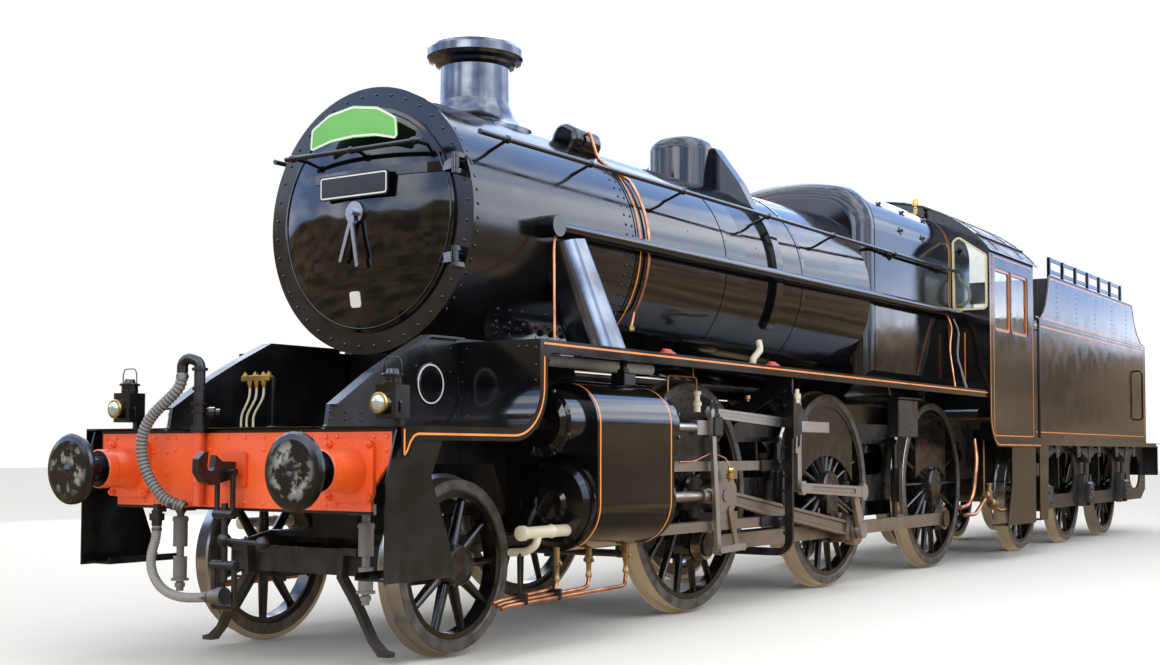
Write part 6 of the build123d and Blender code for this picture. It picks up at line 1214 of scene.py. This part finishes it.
# The cab is riveted sheet steel in gloss black. Orange lines follow its outer edge and frame the panel
# below and round the windows. Rows of small rivets show where angle iron stiffens the sheets inside.
finish_node(plate_enamel, "cab_sides", "tender_sides", "tender_steps_and_rails", "coal_rails",
            "tender_platform")
CAB_FACE = 1270.3
outer_edge = [(9682, 3290), (9682, 1590), (9700, 1480), (9757, 1385), (9845, 1300), (9940, 1272),
              (11465, 1272)]
panel = [(9790, 3281), (9790, 1368), (11190, 1368), (11190, 2480), (11150, 2700), (11150, 3281)]
cab_lines = [side_line(CAB_FACE, outer_edge, 12, 60), side_line(CAB_FACE, panel, 10, 40, True),
             flat_line([(1000, 9659.6, 1870), (1000, 9659.6, 2460)], (0, -1, 0), 10)]
put("cab_lines", both(cab_lines), "engine", lining_orange)
CAB_ROWS = [(range(9850, 11180, 55), (2437, 2402)), (range(9850, 11180, 110), (2310,)),
            (range(9850, 11180, 80), (3306,)), ((9735,), range(1700, 3300, 75)),
            ((10405,), range(2520, 3150, 90)), (range(10000, 11450, 95), (1318,))]
arch_lines = []
for n in range(-11, 12):
    turn = math.radians(4.05 * n)
    x, z = 1620 * math.sin(turn), 2254 + 1620 * math.cos(turn)
    arch_lines.append(((x, 9400, z), (x, 9750, z)))
arch_lines += [((x, 9400, z), (x, 9750, z)) for x in (1215, -1215) for z in range(1900, 2700, 80)]
cab_rivets = both(rivets("cab_sides", side_rows(CAB_ROWS), 8)) + rivets("cab_sides", arch_lines, 9)
put("cab_rivets", cab_rivets, "engine", plate_enamel)


# Hardwood frames, oiled and varnished to a warm orange brown, hold the side windows. The grain runs along
# each stile. The rims of the two front windows are painted cream.
def front_rims(tree, place):
    """The rims ahead of the cab's front sheet."""
    return where(tree, place, 1, "LESS_THAN", 9662)


def varnished_wood(name, light, dark):
    """Hardwood under varnish, IOR 1.5. Its grain runs upwards, 2 mm wide but drawn at 14 mm."""
    material, tree, place = new_material(name)
    long_way = add_node(tree, "Mapping", {"Scale": (1, 1, 0.07)}, {"Vector": place})
    grain = add_node(tree, "TexNoise", {"Scale": 1000 / 14, "Detail": 6.0}, {0: long_way})
    lines = add_node(tree, "MapRange", {1: 0.35, 2: 0.65}, {0: grain})
    wood = add_node(tree, "Mix", {"data_type": "RGBA", 6: linear(light), 7: linear(dark)}, {0: lines})
    rim = front_rims(tree, place)
    surface = add_node(tree, "Mix", {"data_type": "RGBA", 7: linear("#D8CDA8")}, {0: rim, 6: wood})
    pores = add_node(tree, "Bump", {"Strength": 0.25, "Distance": 0.0004}, {"Height": lines})
    matt = add_node(tree, "MapRange", {3: 0.18, 4: 0.32}, {0: lines})
    shader = add_node(tree, "BsdfPrincipled", {"IOR": 1.5}, {
        "Base Color": surface, "Roughness": matt, "Normal": pores})
    add_node(tree, "OutputMaterial", {}, {0: shader})
    return material


finish_node(varnished_wood("varnished_hardwood", "#C67A38", "#8E4A1C"), "window_frames")
finish_node(varnished_wood("worn_floor_boards", "#6B543C", "#3A2C1E"), "cab_floor")

# The window panes are clear plate glass, IOR 1.5, with a faint green body and smudges of 150 mm left by
# cleaning. They let the far side show through.
plate_glass, tree, place = new_material("clear_plate_glass")
smudge = add_node(tree, "TexNoise", {"Scale": 1000 / 150, "Detail": 6.0}, {"Vector": place})
smudged = add_node(tree, "MapRange", {1: 0.45, 2: 0.75, 3: 0.0, 4: 0.12}, {0: smudge})
tint = add_node(tree, "Mix", {"data_type": "RGBA", 6: linear("#F4F8F6"), 7: linear("#D6DDD8")},
                {0: smudge})
shader = add_node(tree, "BsdfPrincipled", {"IOR": 1.5, "Transmission Weight": 1.0},
                  {"Base Color": tint, "Roughness": smudged})
add_node(tree, "OutputMaterial", {}, {0: shader})
finish_node(plate_glass, "window_glass")

# The roof is sheet in a flatter black that has weathered. Bent strips cover its joints, rain strips run
# above the doors, and a sliding hatch lies on the crown.
roof_black = enamel("weathered_roof_black", "#121213", "#2A2927", 0.3, ripple=1.0, dust=0.35,
                    dust_colour="#7A736A")
finish_node(roof_black, "cab_roof")


def over_roof(station, first_x, last_x, steps):
    """Spots across the roof at one station."""
    across = [first_x + (last_x - first_x) * n / steps for n in range(steps + 1)]
    return touches("cab_roof", [((x, station, 4400), (x, station, 3000)) for x in across])


roof_strips = [line_shape(over_roof(s, -1255, 1255, 40), 44, rise=0.007)
               for s in (9640.0, 9990.0, 10880.0, 11290.0)]
for x, rise in ((700.0, 0.01), (1130.0, 0.022)):
    for side in (-1, 1):
        spots = touches("cab_roof",
                        [((side * x, s, 4400), (side * x, s, 3000)) for s in range(9660, 11261, 40)])
        roof_strips.append(line_shape(spots, 16, rise=rise))
put("roof_strips", roof_strips, "engine", roof_black)
roof_spots = []
for s in (9640, 9990, 10880, 11290):
    roof_spots += over_roof(s - 15.0, -1200, 1200, 30) + over_roof(s + 15.0, -1200, 1200, 30)
roof_rivets = [dome_shape(point + normal * 0.0065, normal, 7) for point, normal in roof_spots
               if 0.5 < normal.z < 0.985]
put("roof_rivets", roof_rivets, "engine", roof_black)

# The backhead carries gauges in brass rims, copper pipes and gauge glasses, and the safety valves and
# whistle are brass too. All are dull from heat and handling.
finish_node(worn_metal("handled_brass_and_copper", "#C9A25A", "#7D5F38", 0.25, grain_mm=20),
            "backhead_fittings", "valves_and_whistle")

# The tender's sides are riveted plate in the same gloss black. Two orange lines run below the coping
# with a double row of rivets between them. One panel of line is drawn above, one below.
TENDER_FACE = 1118.3
lower_panel = [(11735, 2700), (11735, 1432), (17375, 1432), (17375, 2700)]
upper_panel = [(12070, 2806), (12235, 2900), (12335, 3060), (12425, 3316), (16672, 3316), (16770, 3120),
               (16905, 2960), (17110, 2842), (17330, 2806)]
tender_lines = [side_line(TENDER_FACE, lower_panel, 12, 50, True),
                side_line(TENDER_FACE, upper_panel, 12, 80, True)]
put("tender_lines", both(tender_lines), "tender", lining_orange)
TENDER_ROWS = [
    (range(11680, 17450, 60), (2772, 2735)), (range(11680, 17450, 90), (1378,)),
    ([s + a for s in (12720, 13640, 14560, 15480, 16300) for a in (-20, 20)], range(2860, 3290, 62)),
    ((12250, 13190, 14130, 15070, 16010, 16870), range(1500, 2680, 62)),
    ((11672, 17442), range(1440, 2700, 75)), (range(12430, 16650, 75), (3340,)),
]
rear_places = [(x, z) for x in range(-1050, 1051, 70) for z in (1400, 2740)]
rear_places += [(x, z) for x in range(-1050, 1051, 525) for z in range(1470, 2700, 70)]
tender_rivets = both(rivets("tender_sides", side_rows(TENDER_ROWS), 7))
tender_rivets += rivets("tender_sides", [((x, 18000, z), (x, 17300, z)) for x, z in rear_places], 8)
put("tender_rivets", tender_rivets, "tender", plate_enamel)
coping = [(11640, 2740), (11790, 2745), (11970, 2775), (12140, 2865), (12260, 2985), (12345, 3150),
          (12400, 3361), (16660, 3361), (16745, 3180), (16850, 3050), (16990, 2930), (17190, 2835),
          (17469, 2800)]
coping_bead = tube_shape(rounded_corners([at(1114, s, z - 4) for s, z in coping], 60), 0.009, 8)
put("tender_coping", both([coping_bead]), "tender", plate_enamel)

# The tank top and the coal space are plain black plate, riveted along the ends, scratched and grey
# with coal dust. A low domed lid with a grip closes the water filler.
coal_dusted = enamel("coal_dusted_black", "#121110", "#1E1C1A", 0.45, dust=0.5, dust_colour="#4A4844")
finish_node(coal_dusted, "tender_tank")
tank_lines = [((x, s, 3400), (x, s, 2500)) for s in (16450, 17350) for x in range(-1000, 1001, 80)]
tank_shapes = rivets("tender_tank", tank_lines, 8)
FILLER_S = 16850
tank_top = touch("tender_tank", (150, FILLER_S, 3400), (150, FILLER_S, 2500))[0].z
filler = Vector((0, at(0, FILLER_S, 0).y, tank_top))
tank_shapes.append(turned_shape(filler, (0, 0, 1), [(-1, 240), (7, 238), (16, 120), (20, 30), (20, 8)],
                                40))
grip = [filler + Vector((x, 0, z))
        for x, z in ((-0.12, 0.012), (-0.12, 0.07), (0.12, 0.07), (0.12, 0.012))]
tank_shapes.append(tube_shape(rounded_corners(grip, 30), 0.011, 8))
put("tank_top_details", tank_shapes, "tender", coal_dusted)

# Small fittings of painted iron, brass and copper are bolted to the running plate and the frames:
# lubricators, oil pots, lifting links and injectors, each with its own little pipe.
oil_black = enamel("oily_box_black", "#0C0B0A", "#1B1814", 0.2, dust=0.2, grime="#3B332A",
                   grime_below=1.7)
box_shapes = [
    box_shape(1060, 1160, 3860, 3980, 1300, 1440, 6), box_shape(1075, 1145, 3875, 3965, 1440, 1462, 6),
    box_shape(1020, 1130, 2700, 2836, 1615, 1700, 6), box_shape(1045, 1105, 2735, 2800, 1700, 1725, 5),
    box_shape(940, 1060, 7621, 8109, 1331, 1690, 10), box_shape(930, 1070, 7600, 8130, 1690, 1712, 6),
]
for s in (3890.0, 3950.0):
    box_shapes.append(turned_shape(at(1110, s, 1460), (0, 0, 1),
                                   [(0, 24), (60, 24), (64, 28), (78, 28), (82, 14), (96, 12)], 16))
    box_shapes.append(turned_shape(at(1110, s, 1302), (0, 0, -1), [(0, 18), (40, 18), (44, 10), (70, 8)],
                                   12))
box_shapes.append(turned_shape(at(1075, 2768, 1723), (0, 0, 1),
                               [(0, 26), (30, 24), (34, 30), (44, 30), (48, 12), (62, 10)], 16))
put("lubricator_boxes", both(box_shapes), "engine", oil_black)
cream_fittings = [turned_shape(at(1080, 3735, 1470), (0, 0, 1), [
                                   (0, 26), (40, 26), (44, 34), (70, 34), (78, 22), (118, 20), (122, 30),
                                   (146, 30), (150, 10)], 12),
                  turned_shape(at(1230, 5056, 1570), (0, 0, 1),
                               [(0, 20), (30, 20), (34, 30), (70, 30), (74, 18), (110, 16)], 12),
                  pipe_shape([(930, 4990, 2060), (960, 4960, 1990), (1000, 4757, 1905),
                              (1000, 4750, 1846)], 27, 50)]
put("cream_fittings", both(cream_fittings), "engine", cream_paint)
pot_shapes = [turned_shape(at(1150, 4097, 968), (0, 0, 1), [(0, 16), (20, 16), (26, 30), (66, 30),
                                                            (74, 20), (84, 20), (88, 30), (104, 26),
                                                            (110, 10)], 12)]
for s in (5160, 4300):
    pot_shapes.append(turned_shape(at(1190, s, 1560), (0, 0, 1),
                                   [(0, 10), (14, 10), (18, 20), (44, 20), (48, 8)], 10))
put("oil_pots", both(pot_shapes), "engine", brass)
put("lifting_links", both([box_shape(1220, 1232, 5145, 5655, 1343, 1431, 3)]), "engine", gear_steel)
copper_runs = [pipe_shape([(1075, 3735, 1612), (1075, 3735, 1716), (1075, 3337, 1712),
                           (1075, 3337, 1600)], 6, 30, 8),
               pipe_shape([(1075, 3690, 1716), (1075, 3690, 1810), (1060, 3300, 1806),
                           (1060, 2960, 1800)], 5, 30, 8),
               pipe_shape([(1110, 3890, 1250), (1112, 3888, 1180), (1130, 3600, 1120),
                           (1130, 3400, 1118)], 5, 40, 8),
               pipe_shape([(1110, 3950, 1250), (1112, 3952, 1170), (1120, 4090, 1140),
                           (1145, 4097, 1080)], 5, 40, 8),
               pipe_shape([(1030, 4600, 1815), (1030, 7400, 1815), (1010, 7480, 1800),
                           (1005, 7540, 1725)], 7, 40, 8),
               pipe_shape([(1150, 9174, 548), (1150, 9500, 545), (1150, 9700, 640), (1150, 9830, 705)],
                          20, 70, 12),
               pipe_shape([(1150, 10130, 600), (1160, 10260, 560), (1170, 10420, 560), (1150, 10700, 640),
                           (1100, 10900, 700)], 18, 80, 12),
               pipe_shape([(1100, 9174, 620), (1100, 9420, 640), (1110, 9560, 760), (1100, 9700, 1100),
                           (1060, 9760, 1330)], 22, 90, 12)]
put("copper_runs", both(copper_runs), "engine", copper)
injector_shapes = [turned_shape(at(1150, 9815, 745), Vector((0, 0.31, -0.15)),
                                [(0, 30), (20, 44), (60, 46), (80, 34), (190, 34), (210, 52), (260, 54),
                                 (280, 36), (350, 34), (372, 26)], 20),
                   turned_shape(at(1150, 9960, 690), (0, 0, 1), [(0, 30), (60, 30), (64, 40), (90, 40),
                                                                 (96, 24), (150, 22), (154, 34),
                                                                 (170, 34)], 12),
                   turned_shape(at(1120, 10060, 640), (1, 0, 0),
                                [(0, 28), (60, 28), (64, 36), (84, 36), (90, 16)], 12),
                   box_shape(1100, 1112, 9800, 10240, 700, 716, 3),
                   box_shape(1100, 1112, 9900, 9930, 700, 1320, 3)]
put("injectors", both(injector_shapes), "engine", oily_bronze)

# Bright orange red lids of moulded plastic close two filler holes on the running plate. They are the only
# new things on it, and keep their colour clean.
lid_shapes = []
for s in (3300.0, 4905.0):
    lid_shapes.append(turned_shape(at(1090, s, PLATE_TOP - 0.5), (0, 0, 1),
                                   [(0, 62), (20, 62), (24, 56), (34, 40), (38, 14)], 24))
    lid_shapes.append(box_shape(1076, 1104, s - 50, s + 50, PLATE_TOP + 30, PLATE_TOP + 48, 5))
put("filler_lids", both(lid_shapes), "engine",
    enamel("red_plastic_lid", "#E84A22", "#C93C1A", 0.35, dust=0.3))

# Inside the left front window a drawn pipe, painted cream, loops up from the controls. Only its bend
# shows.
window_pipe = pipe_shape([(905, 9705, 3110), (925, 9705, 3050), (1000, 9705, 2975), (1042, 9705, 2900),
                          (1044, 9705, 2830), (1008, 9705, 2775), (890, 9705, 2755)], 17)
put("window_pipe", [window_pipe], "engine", cream_paint)
